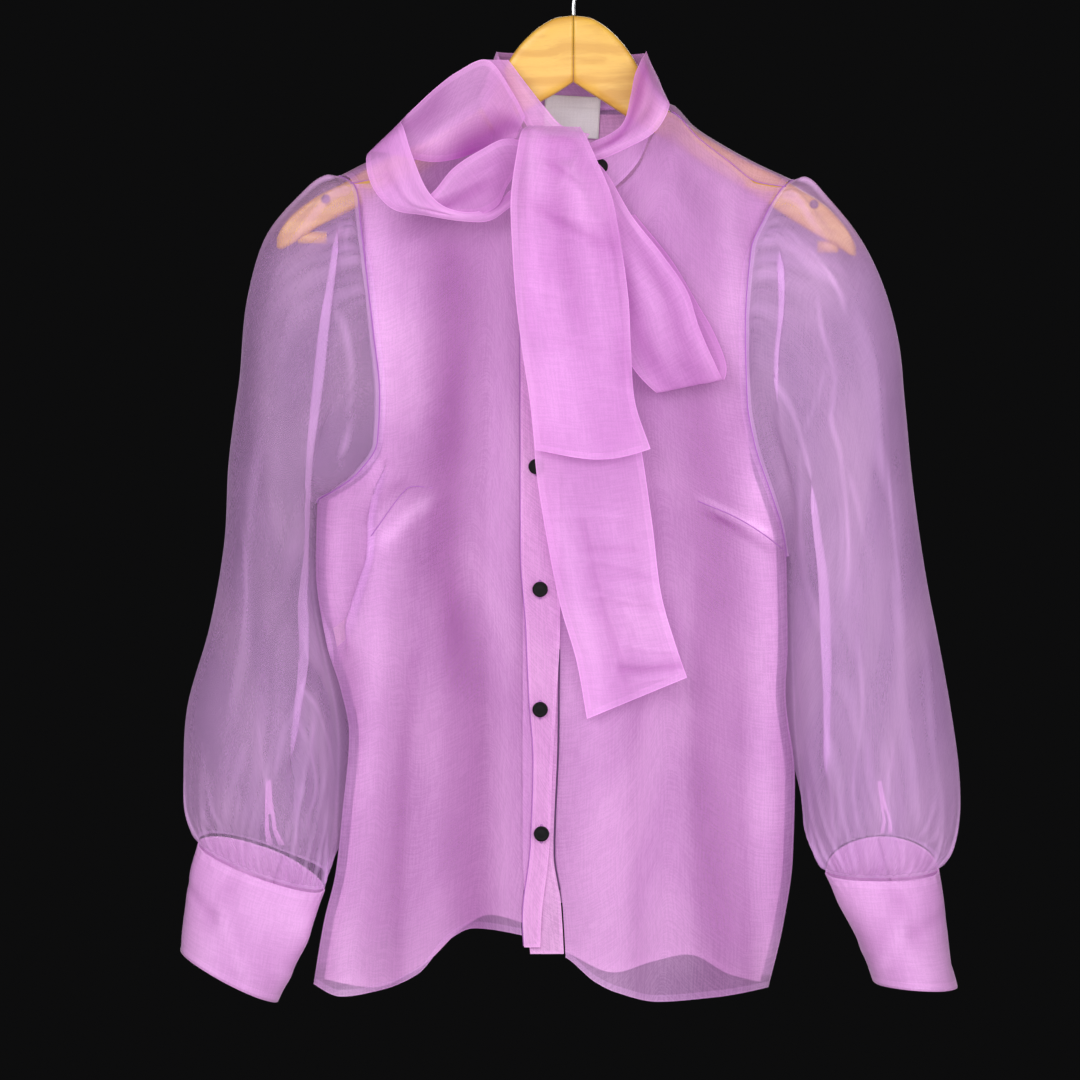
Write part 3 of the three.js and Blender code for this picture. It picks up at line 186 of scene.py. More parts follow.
HANGER_LEFT = table("x top bottom half", [
    (0.15, -62.8, -113, 6), (11.6, -64.2, -120.5, 6.5), (22, -69.5, -127, 7), (32.6, -78.5, -134, 7),
    (41.6, -89.5, -140, 7), (50, -103, -145, 7), (62, -124, -152, 7), (74, -137, -160, 7.5),
    (92, -151.5, -171, 8), (114, -165.5, -185, 8), (138, -178.5, -199.5, 8), (168, -192.5, -219, 8),
    (190, -206, -232, 8), (205, -222, -241, 7.5), (213, -234, -246.5, 7),
])
HANGER_RIGHT = table("x top bottom half", [
    (-0.15, -62.8, -113, 6), (-11.6, -64.2, -120.5, 6.5), (-23, -69.5, -127, 7), (-33.5, -78, -133, 7),
    (-43, -88.5, -139, 7), (-52, -103, -144, 7), (-62, -123, -150, 7), (-74, -136.5, -158, 7.5),
    (-92, -149, -167.5, 8), (-114, -161.5, -181, 8), (-138, -171.5, -194, 8), (-170, -187.5, -211, 8),
    (-193, -199, -222.5, 8), (-212, -213, -235, 8), (-223.5, -227, -241, 7),
])
HOOK_LINE = table("x z", [
    (0, -62.6), (0, -54), (2, -46), (11, -36), (18.5, -27), (20, -16), (14, -3.5), (0, 1.5), (-14, -3.5),
    (-20, -17), (-17.5, -28),
])
BODY_CENTRE, NECK_HALF, BACK_NECK_Z, HEM_Z = -5.0, 72.0, -131.0, -792.0
SHOULDER_FRONT, SHOULDER_BACK, SHOULDER_SLOPE = -15.0, 17.0, 0.8
SHOULDER_BLEND = {"front": 70.0, "back": 90.0}
FOLD_FADE = 120.0
LINING_DROP, FRONT_LAP = 5.0, 2.4

# The largest folds, as the solids have them: x, top, width and height
FOLDS = [
    (-128, -320, 16, 4), (-77, -230, 18, -5), (-50, -420, 10, 2), (35, -400, 20, 3), (98, -240, 20, -5),
    (135, -480, 14, 3),
]
BACK_FOLDS = [
    (-120, -300, 22, 5), (-60, -200, 22, -5), (5, -260, 24, 4), (70, -220, 22, -5), (125, -320, 20, 4),
]

# Finer creases of each layer: from x, z to x, z, then width and height
FRONT_CREASES = [
    (-60, -250, -66, -735, 5, 1.0), (-88, -290, -96, -735, 8, -1.3), (-108, -400, -124, -560, 6, 1.6),
    (-116, -250, -118, -400, 9, 0.9), (-138, -300, -146, -420, 7, -0.9), (-152, -560, -165, -770, 8, 1.2),
    (-132, -560, -138, -780, 7, -1.2), (-106, -600, -104, -760, 7, 1.0), (8, -300, 10, -770, 9, 0.8),
    (24, -520, 30, -790, 8, -0.9), (50, -300, 58, -640, 9, -1.0), (62, -560, 60, -790, 8, 1.0),
    (76, -440, 86, -780, 8, 1.0), (110, -280, 112, -420, 9, 0.9), (114, -480, 122, -760, 8, -1.2),
    (142, -500, 152, -740, 7, 1.2), (78, -180, 66, -260, 9, 0.8), (104, -190, 92, -300, 9, -0.7),
]
LINING_CREASES = [
    (-70, -260, -80, -740, 12, 1.6), (-112, -300, -118, -770, 12, -1.6), (-146, -480, -160, -780, 10, 1.4),
    (20, -300, 22, -770, 12, 1.4), (66, -280, 72, -760, 12, -1.6), (104, -340, 112, -770, 11, 1.6),
    (138, -480, 146, -770, 9, -1.2),
]
BACK_CREASES = [
    (-150, -320, -162, -740, 9, 1.4), (-96, -240, -102, -740, 9, -1.4), (-34, -220, -38, -725, 9, 1.3),
    (34, -240, 30, -725, 10, -1.4), (96, -280, 104, -740, 9, 1.4), (142, -420, 150, -740, 8, -1.1),
    (-10, -400, -14, -725, 7, -0.8), (60, -480, 56, -730, 7, 0.9),
]
# Sharp folds where the cloth doubles back: width, depth and the line's x and z points
FRONT_TUCKS = [
    (13, 2.6, [(-147, -391), (-142, -402), (-148, -424), (-152, -441), (-153, -471), (-158, -488), (-168, -522),
               (-174, -550)]),
]
SLEEVE_TUCKS = {
    "right": [
        (12, 3.0, [
            (-176, -212), (-180, -250), (-186, -292), (-192, -346), (-198, -398), (-201, -449),
            (-203, -503), (-202, -544), (-208, -594), (-214, -636)]),
    ],
    "left": [
        (9, 2.2, [(154, -228), (156, -280), (152, -323), (153, -370)]),
        (12, 3.0, [
            (177, -404), (182, -448), (187, -487), (189, -529), (190, -564), (190, -598), (189, -650)]),
    ],
}
# Thin creases of the sleeves' fronts, where the cloth looks denser: width, strength, the line's x and z points
SLEEVE_LINES = {
    "right": [
        (3.6, 0.22, [
            (-172, -215), (-177, -250), (-182, -292), (-188, -346), (-194, -398), (-198, -449),
            (-199, -503), (-199, -548)]),
        (1.5, 0.20, [
            (-200, -405), (-200, -443), (-205, -480), (-204, -510), (-211, -529), (-207, -555),
            (-201, -585), (-197, -615), (-193, -645), (-199, -668), (-197, -690)]),
        (1.4, 0.18, [(-205, -525), (-192, -582), (-183, -615), (-179, -645), (-178, -690)]),
        (1.4, 0.14, [(-207, -555), (-212, -575), (-220, -600), (-225, -640)]),
        (1.8, 0.24, [(-175, -278), (-170, -293), (-166, -323), (-167, -353), (-171, -383), (-176, -408)]),
        (1.3, 0.16, [(-172, -222), (-174, -250), (-176, -278), (-184, -320), (-189, -360)]),
        (1.5, 0.10, [(-254, -428), (-249, -447), (-246, -499), (-249, -533)]),
        (1.3, 0.14, [(-192, -582), (-198, -620), (-206, -660), (-210, -700)]),
        (1.3, 0.12, [(-236, -590), (-232, -630), (-224, -676)]), (1.3, 0.10, [(-250, -640), (-256, -690)]),
        (6.0, 0.05, [(-205, -520), (-196, -580), (-190, -640), (-186, -700)]),
        (1.2, 0.12, [(-164, -206), (-168, -226), (-167, -250)]),
    ],
    "left": [
        (1.6, 0.22, [
            (155, -238), (155, -282), (149, -323), (155, -338), (166, -368), (177, -410), (184, -450)]),
        (3.0, 0.07, [(158, -240), (156, -330), (158, -430)]),
        (1.5, 0.18, [
            (183, -270), (186, -300), (193, -323), (196, -338), (193, -368), (199, -390), (202, -413),
            (205, -450), (207, -510)]),
        (2.2, 0.20, [(138, -208), (166, -229), (190, -255), (201, -274), (205, -292)]),
        (6.0, 0.07, [(142, -216), (160, -232), (178, -252), (192, -274)]),
        (1.4, 0.14, [(192, -323), (183, -349), (171, -383)]),
        (1.5, 0.12, [(204, -398), (213, -432), (219, -462)]),
        (1.3, 0.14, [(171, -383), (168, -430), (170, -480), (176, -530)]),
        (1.4, 0.14, [(190, -560), (196, -610), (194, -660), (198, -700)]),
        (1.3, 0.12, [(212, -520), (216, -580), (210, -640), (214, -690)]),
        (1.3, 0.10, [(240, -600), (236, -650), (242, -690)]),
        (1.4, 0.10, [(232, -330), (238, -420), (246, -500)]),
    ],
}
# Soft ridges of the sleeves' fronts and backs: side, from x, z to x, z, then width and height
SLEEVE_RIDGES = {
    "right": [
        (1, -205, -240, -238, -420, 9, 3.4), (1, -226, -300, -246, -520, 7, -2.6),
        (1, -240, -420, -262, -600, 7, 2.6), (1, -222, -500, -236, -650, 8, 3.0),
        (1, -186, -430, -190, -560, 5, -2.0), (1, -250, -600, -266, -680, 6, 2.4),
        (1, -192, -560, -204, -690, 4, 2.2), (1, -212, -600, -206, -690, 4, -2.0),
        (1, -232, -620, -246, -690, 5, 2.2), (1, -184, -580, -186, -680, 4, 2.0),
        (1, -198, -640, -216, -692, 4, 2.2), (1, -262, -440, -276, -560, 4, 1.6),
        (-1, -180, -230, -200, -420, 12, 3.4), (-1, -215, -260, -225, -600, 12, -3.4),
        (-1, -205, -440, -236, -640, 10, 3.0), (-1, -244, -330, -256, -560, 8, 2.4),
        (-1, -190, -520, -196, -680, 6, 2.2),
    ],
    "left": [
        (1, 160, -216, 206, -270, 6, 3.4), (1, 214, -262, 240, -430, 9, 3.0),
        (1, 226, -380, 246, -560, 8, -2.6), (1, 240, -470, 262, -640, 7, 2.6),
        (1, 205, -560, 214, -660, 6, 2.6), (1, 252, -600, 266, -676, 6, 2.2),
        (1, 197, -420, 208, -560, 4, 2.0), (1, 216, -600, 226, -680, 4, 2.2),
        (1, 194, -600, 198, -690, 4, 2.2), (1, 226, -300, 236, -420, 4, 1.8),
        (1, 236, -600, 244, -684, 4, 2.0), (1, 264, -520, 276, -640, 5, 1.8),
        (-1, 168, -240, 184, -420, 12, 3.4), (-1, 205, -250, 216, -560, 12, -3.4),
        (-1, 196, -440, 226, -640, 10, 3.0), (-1, 238, -330, 252, -560, 8, 2.4),
        (-1, 182, -500, 190, -660, 6, 2.2),
    ],
}
# Painted light and shade in broad soft bands down the drapes: the x and z points of each line, its width and
# how much brighter it is painted, as if catching the light (darker where negative)
PAINTED_DRAPE_SHADING = [
    ([(-151, -180), (-145, -383), (-136, -443), (-156, -578), (-170, -773), (-172, -880)], 14, 0.95),
    ([(-101, -190), (-91, -390), (-99, -473), (-81, -578), (-70, -750), (-66, -880)], 20, -0.95),
    ([(-54, -190), (-52, -780)], 9, 0.35), ([(-122, -220), (-118, -420)], 11, 0.3),
    ([(-30, -300), (-42, -500), (-46, -780)], 6, -0.35),
    ([(-116, -450), (-124, -600), (-138, -860)], 6, -0.35), ([(-179, -410), (-180, -600)], 10, 0.9),
    ([(138, -360), (142, -470), (150, -900)], 13, 0.95), ([(100, -300), (99, -533), (108, -900)], 18, -0.6),
    ([(14, -540), (26, -700), (34, -900)], 22, 0.45), ([(72, -560), (70, -900)], 10, 0.3),
    ([(44, -480), (48, -900)], 6, -0.25), ([(118, -170), (117, -350)], 8, 0.5),
    ([(58, -200), (66, -340)], 14, -0.3), ([(86, -430), (84, -860)], 5, 0.3),
    ([(126, -520), (130, -860)], 5, -0.3),
]
# The same painted light and shade in bands down the back's drapes
PAINTED_BACK_DRAPE_SHADING = [
    ([(-130, -200), (-126, -450), (-144, -850)], 12, 0.6),
    ([(-84, -170), (-70, -420), (-92, -850)], 10, -0.45), ([(-44, -150), (-30, -400), (-48, -850)], 8, 0.45),
    ([(2, -150), (12, -420), (-4, -850)], 11, -0.4), ([(44, -150), (36, -380), (54, -850)], 9, 0.5),
    ([(92, -180), (84, -420), (96, -850)], 12, -0.45), ([(128, -220), (132, -440), (148, -850)], 10, 0.6),
    ([(-100, -420), (-112, -850)], 5, 0.3), ([(66, -440), (74, -850)], 5, 0.3),
    ([(-18, -460), (-24, -850)], 4, 0.25),
]


def smoothstep(x, low, high):
    t = np.clip((np.asarray(x, float) - low) / (high - low), 0, 1)
    return t * t * (3 - 2 * t)


def mix(a, b, t):
    return a + (b - a) * t


def curve(rows, along, column):
    """A smooth curve through a table's column, with no overshoot between its rows."""
    order = np.argsort(rows[along])
    x, y = rows[along][order], rows[column][order]
    slope = np.diff(y) / np.diff(x)
    tangent = np.concatenate([slope[:1], np.zeros(len(x) - 2), slope[-1:]])
    product = slope[:-1] * slope[1:]
    total = np.where(product > 0, slope[:-1] + slope[1:], 1)
    tangent[1:-1] = np.where(product > 0, 2 * product / total, 0)

    def at(v):
        v = np.clip(np.asarray(v, float), x[0], x[-1])
        i = np.clip(np.searchsorted(x, v) - 1, 0, len(x) - 2)
        span = x[i + 1] - x[i]
        t = (v - x[i]) / span
        rise = (2 * t + 1) * (1 - t) ** 2 * y[i] + t * t * (3 - 2 * t) * y[i + 1]
        return rise + span * (t * (1 - t) ** 2 * tangent[i] - t * t * (1 - t) * tangent[i + 1])

    return at


def through(points, count):
    """count points of a centripetal curve through points."""
    points = np.array(points, float)
    padded = np.vstack([2 * points[0] - points[1], points, 2 * points[-1] - points[-2]])
    steps = np.sqrt(np.linalg.norm(np.diff(padded, axis=0), axis=1))
    place = np.linspace(0, len(points) - 1, count)
    i = np.clip(place.astype(int), 0, len(points) - 2)
    t = (place - i)[:, None]
    p0, p1, p2, p3 = (padded[i + k] for k in range(4))
    d0, d1, d2 = (np.where(steps[i + k] < 1e-4, 1, steps[i + k])[:, None] for k in range(3))
    m1 = ((p1 - p0) / d0 - (p2 - p0) / (d0 + d1) + (p2 - p1) / d1) * d1
    m2 = ((p2 - p1) / d1 - (p3 - p1) / (d1 + d2) + (p3 - p2) / d2) * d1
    return p1 + m1 * t + (3 * (p2 - p1) - 2 * m1 - m2) * t ** 2 + (2 * (p1 - p2) + m1 + m2) * t ** 3


SIDES = {
    name: {key: curve(rows, "z", key) for key in ("frontX", "frontY", "backX", "backY")}
    for name, rows in (("left", SIDE_LEFT), ("right", SIDE_RIGHT))
}
DEPTH = {face: curve(BODY_DEPTH, "z", face) for face in ("front", "back")}
front_top, ridge = curve(FRONT_TOP, "x", "z"), curve(SHOULDER_RIDGE, "x", "z")
front_hem, lining_hem, back_hem = (curve(rows, "x", "z") for rows in (FRONT_HEM, LINING_HEM, BACK_HEM))
placket_low, placket_high = curve(PLACKET_TOP, "z", "low"), curve(PLACKET_TOP, "z", "high")
under_low, under_high = curve(PLACKET_UNDER, "z", "low"), curve(PLACKET_UNDER, "z", "high")


def seam_line(x):
    inside = np.maximum(0, NECK_HALF - np.abs(x))
    corner = front_top(np.where(np.asarray(x) < 0, -NECK_HALF, NECK_HALF))
    return np.where(inside > 0, corner + inside * SHOULDER_SLOPE, front_top(x))


def creases(x, z, lines):
    """Height of soft ridges and troughs along straight lines, fading at both ends."""
    total = np.zeros(np.broadcast(x, z).shape)
    for x0, z0, x1, z1, width, height in lines:
        length = math.hypot(x1 - x0, z1 - z0)
        ux, uz = (x1 - x0) / length, (z1 - z0) / length
        along = ((x - x0) * ux + (z - z0) * uz) / length
        off = (x - x0) * uz - (z - z0) * ux
        off = off + 0.35 * width * np.sin(along * 5 + x0)
        fade = smoothstep(along, -0.05, 0.25) * (1 - smoothstep(along, 0.7, 1.05))
        total += height * np.exp(-((off / width) ** 2)) * fade
    return total


def painted_drape_shading(x, z, lines):
    """Painted light and shade in broad soft bands that run down lines of points."""
    total = np.zeros(np.broadcast(x, z).shape)
    for points, width, height in lines:
        points = np.array(points[::-1], float)
        line = np.interp(z, points[:, 1], points[:, 0]) + 0.3 * width * np.sin(z / 47 + width)
        foot, top = points[0, 1], points[-1, 1]
        fade = smoothstep(z, foot, foot + 90) * (1 - smoothstep(z, top - 60, top))
        total += height * fade * np.exp(-(((x - line) / width) ** 2))
    return total


def ripple(x, z, size, height, seed):
    """A faint unevenness of cloth: a few crossing waves about size across."""
    waves = np.random.default_rng(seed)
    total = np.zeros(np.broadcast(x, z).shape)
    for _ in range(7):
        turn, phase = waves.uniform(0, 2 * math.pi, 2)
        step = 2 * math.pi / (size * waves.uniform(0.6, 1.7))
        total += np.sin((x * math.cos(turn) + 0.5 * z * math.sin(turn)) * step + phase)
    return total * height / 4


def down_line(points, z):
    """x at z of a smooth line down through points."""
    smooth = through([(x, z, 0) for x, z in points], 80)[::-1]
    return np.interp(z, np.maximum.accumulate(smooth[:, 1]), smooth[:, 0])


def thin_lines(x, z, lines):
    """How dense the cloth gets along thin creases."""
    total = np.zeros(x.shape)
    for width, strength, points in lines:
        top, foot = points[0][1], points[-1][1]
        fade = smoothstep(z, foot - 2, foot + 20) * (1 - smoothstep(z, top - 20, top + 2))
        uneven = 0.75 + 0.25 * np.sin(z / 13 + foot)
        near = np.exp(-(((x - down_line(points, z)) / width) ** 2))
        total = np.maximum(total, strength * uneven * fade * near)
    return total


TUCK_PULL = 2.2


def tucks(x, y, z, lines):
    """Cloth that doubles back on itself along lines, three layers deep: returns x, y and how dense it gets."""
    dense = np.zeros(x.shape)
    for width, depth, points in lines:
        points = np.array(points, float)
        line = down_line(points, z)
        top, foot = points[:, 1].max(), points[:, 1].min()
        fade = smoothstep(z, foot - 6, foot + 34) * (1 - smoothstep(z, top - 30, top + 6))
        width = width * (0.8 + 0.2 * np.sin(z / 31 + width))
        t = (x - line) / width
        x = x - TUCK_PULL * fade * width * t * np.exp(-t * t)
        fall = smoothstep(t, -0.7, 0.7) * np.exp(-np.clip(t - 0.7, 0, None) ** 2 / 4)
        y = y + depth * fall * fade
        dense = np.maximum(dense, 0.8 / width.mean() * fade * np.exp(-((t / 0.5) ** 2)))
    return x, y, dense


def body_point(face, x, z, lift=0.0, offset=0.0, fine=0.0):
    """A point of the front or the back at x and z: lift and fine move it out, less near the edges."""
    x, z = np.broadcast_arrays(np.asarray(x, float), np.asarray(z, float))
    left = x > BODY_CENTRE
    edge_x = np.where(left, SIDES["left"][face + "X"](z), SIDES["right"][face + "X"](z))
    edge_y = np.where(left, SIDES["left"][face + "Y"](z), SIDES["right"][face + "Y"](z))
    share = np.minimum(1, np.abs((x - BODY_CENTRE) / (edge_x - BODY_CENTRE)))
    bulge = (1 - share ** 2.6) ** 0.6
    front = face == "front"
    out = -1.0 if front else 1.0
    full = mix(edge_y, DEPTH[face](z), bulge)
    below = smoothstep((seam_line(x) if front else ridge(x)) - z, 0, SHOULDER_BLEND[face])
    held = (1 - below) if front else (1 - below) * smoothstep(np.abs(x), 30, 80)
    y = mix(full, SHOULDER_FRONT if front else SHOULDER_BACK, held * np.sign(bulge))
    folds = np.zeros(x.shape)
    for at, top, width, height in FOLDS if front else BACK_FOLDS:
        folds = folds + height * np.exp(-(((x - at) / width) ** 2)) * smoothstep(-z, -top, FOLD_FADE - top)
    return np.stack([x, y + out * (bulge * (folds + lift + fine) + offset), z], -1)


# Meshes
FAR_FROM_EDGE = 60.0


def normals(grid, closed):
    padded = np.concatenate([grid[:, -1:], grid, grid[:, :1]], 1) if closed else grid
    across = np.gradient(padded, axis=1)
    across = across[:, 1:-1] if closed else across
    down = np.gradient(grid, axis=0)
    normal = np.cross(across, down)
    return normal / np.maximum(np.linalg.norm(normal, axis=2, keepdims=True), 1e-9)


def lengths(grid, axis):
    step = np.linalg.norm(np.diff(grid, axis=axis), axis=2)
    pad = [(0, 0), (0, 0)]
    pad[axis] = (1, 0)
    return np.pad(np.cumsum(np.nan_to_num(step), axis), pad)


def make(name, grid, material, nodes, closed=False, thickness=0.0, dense=None, tone_and_painted_shade=None,
         edges="sides hem"):
    """A mesh from rows of points. Its cloth UVs are millimetres over the cloth, and its edge UVs the distances
    to the nearest side edge and to the nearest end. edges says which of them have a hem: sides, last for the
    last column alone, hem for the lower end, ends for both. A thickness makes two layers that meet at their
    rims."""
    rows, columns = grid.shape[:2]
    open_grid = np.concatenate([grid, grid[:, :1]], 1) if closed else grid
    across, down = lengths(open_grid, 1), lengths(open_grid, 0)
    far = np.full(across.shape, FAR_FROM_EDGE)
    side = np.minimum(across, across[:, -1:] - across) if "sides" in edges and not closed else far
    if "last" in edges:
        side = across[:, -1:] - across
    end = down[-1:] - down if "hem" in edges else far
    if "ends" in edges:
        end = np.minimum(down, down[-1:] - down)
    real = ~np.isnan(grid[..., 0])
    number = np.where(real, np.cumsum(real).reshape(real.shape) - 1, -1)
    layers = [grid[real]]
    count = int(real.sum())
    if thickness:
        normal = normals(grid, closed)[real]
        layers = [grid[real] + normal * thickness / 2, grid[real] - normal * thickness / 2]
    i, j = np.meshgrid(np.arange(rows - 1), np.arange(columns if closed else columns - 1), indexing="ij")
    i, j = i.ravel(), j.ravel()
    corners = [(i, j), (i + 1, j), (i + 1, j + 1), (i, j + 1)]
    faces = np.stack([number[a, b % columns] for a, b in corners], 1)
    cloth_uv = np.stack([np.stack([across[a, b], down[a, b]], -1) for a, b in corners], 1)
    edge_uv = np.stack([np.stack([side[a, b], end[a, b]], -1) for a, b in corners], 1)
    kept = (faces >= 0).all(1)
    faces, cloth_uv, edge_uv = faces[kept], cloth_uv[kept], edge_uv[kept]
    if thickness:
        rim = {}
        for n, face in enumerate(faces):
            for k in range(4):
                pair = (int(face[k]), int(face[(k + 1) % 4]))
                if rim.pop(pair[::-1], None) is None:
                    rim[pair] = (n, k)
        extra, extra_cloth, extra_edge = [], [], []
        for (a, b), (n, k) in rim.items():
            extra.append((b, a, count + a, count + b))
            turn = [(k + 1) % 4, k, k, (k + 1) % 4]
            extra_cloth.append(cloth_uv[n][turn])
            extra_edge.append(edge_uv[n][turn])
        faces = np.vstack([faces, faces[:, ::-1] + count, extra])
        cloth_uv = np.concatenate([cloth_uv, cloth_uv[:, ::-1], extra_cloth])
        edge_uv = np.concatenate([edge_uv, edge_uv[:, ::-1], extra_edge])
    mesh = bpy.data.meshes.new(name)
    mesh.from_pydata((np.concatenate(layers) * MM).tolist(), [], faces.tolist())
    for key, values in (("cloth", cloth_uv), ("edge", edge_uv)):
        mesh.uv_layers.new(name=key).data.foreach_set("uv", values.ravel().astype(np.float32))
    # dense is extra cloth density; the second attribute is painted light and shade, which the cloth multiplies
    # into its colour
    for key, values in (("dense", dense), ("tone_and_painted_shade", tone_and_painted_shade)):
        if values is not None:
            values = np.concatenate([values[real]] * len(layers)).astype(np.float32)
            mesh.attributes.new(key, "FLOAT", "POINT").data.foreach_set("value", values)
    mesh.polygons.foreach_set("use_smooth", np.ones(len(mesh.polygons), bool))
    return piece(name, mesh, material, nodes)


def piece(name, mesh, material, nodes):
    mesh.materials.append(material)
    mesh.update()
    made = bpy.data.objects.new(name, mesh)
    bpy.context.scene.collection.objects.link(made)
    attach(made, "root")
    if nodes:
        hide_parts(*nodes)
    return made


def join_mesh(name, parts, material, nodes):
    """One object of several closed shapes, each (points, faces) in millimetres."""
    points, faces, start = [], [], 0
    for some_points, some_faces in parts:
        points.extend((np.array(some_points, float) * MM).tolist())
        faces.extend([tuple(start + int(k) for k in face) for face in some_faces])
        start += len(some_points)
    mesh = bpy.data.meshes.new(name)
    mesh.from_pydata(points, [], faces)
    mesh.polygons.foreach_set("use_smooth", np.ones(len(mesh.polygons), bool))
    return piece(name, mesh, material, nodes)


def tube(points, radius, sides=8):
    """A closed round rod along points, as (points, faces)."""
    points = np.array(points, float)
    radius = np.broadcast_to(radius, len(points))
    run = np.gradient(points, axis=0)
    run /= np.maximum(np.linalg.norm(run, axis=1, keepdims=True), 1e-9)
    up = np.array([0.0, 1.0, 0.0]) if abs(run[0][1]) < 0.9 else np.array([1.0, 0.0, 0.0])
    rings = []
    for point, ahead, r in zip(points, run, radius):
        up = up - ahead * up.dot(ahead)
        up /= np.linalg.norm(up)
        side = np.cross(ahead, up)
        turn = np.linspace(0, 2 * math.pi, sides, endpoint=False)[:, None]
        rings.append(point + r * (np.cos(turn) * up + np.sin(turn) * side))
    faces = []
    for i in range(len(points) - 1):
        for k in range(sides):
            n = (k + 1) % sides
            faces.append((i * sides + k, i * sides + n, (i + 1) * sides + n, (i + 1) * sides + k))
    last = (len(points) - 1) * sides
    faces.append(tuple(range(sides))[::-1])
    faces.append(tuple(last + k for k in range(sides)))
    return np.concatenate(rings), faces


# Materials
THREAD_WAVES = 10.5  # radians a millimetre
STITCH_WAVES = 2.4


class Graph:
    def __init__(self, name):
        self.material = bpy.data.materials.new(name)
        self.material.use_nodes = True
        self.tree = self.material.node_tree
        self.tree.nodes.clear()

    def node(self, kind, inputs=None, **settings):
        made = self.tree.nodes.new("ShaderNode" + kind)
        for key, value in settings.items():
            setattr(made, key, value)
        for key, value in (inputs or {}).items():
            if isinstance(value, bpy.types.NodeSocket):
                self.tree.links.new(value, made.inputs[key])
            else:
                made.inputs[key].default_value = value
        return made

    def math(self, operation, a, b=0.0, c=0.0):
        return self.node("Math", {0: a, 1: b, 2: c}, operation=operation).outputs[0]

    def ramp(self, value, low, high, start=0.0, stop=1.0):
        inputs = {"Value": value, "From Min": low, "From Max": high, "To Min": start, "To Max": stop}
        return self.node("MapRange", inputs, interpolation_type="SMOOTHSTEP").outputs[0]

    def colour(self, a, b, share):
        return self.node("Mix", {0: share, 6: a, 7: b}, data_type="RGBA").outputs[2]

    def noise(self, vector, scale, detail=2.0, stretch=(1, 1, 1)):
        moved = self.node("Mapping", {"Vector": vector, "Scale": stretch}).outputs[0]
        flat = "2D" if detail == 0 else "3D"
        return self.node("TexNoise", {"Vector": moved, "Scale": scale, "Detail": detail},
                         noise_dimensions=flat).outputs[0]

    def finish(self, shader):
        self.node("OutputMaterial", {"Surface": shader})
        return self.material


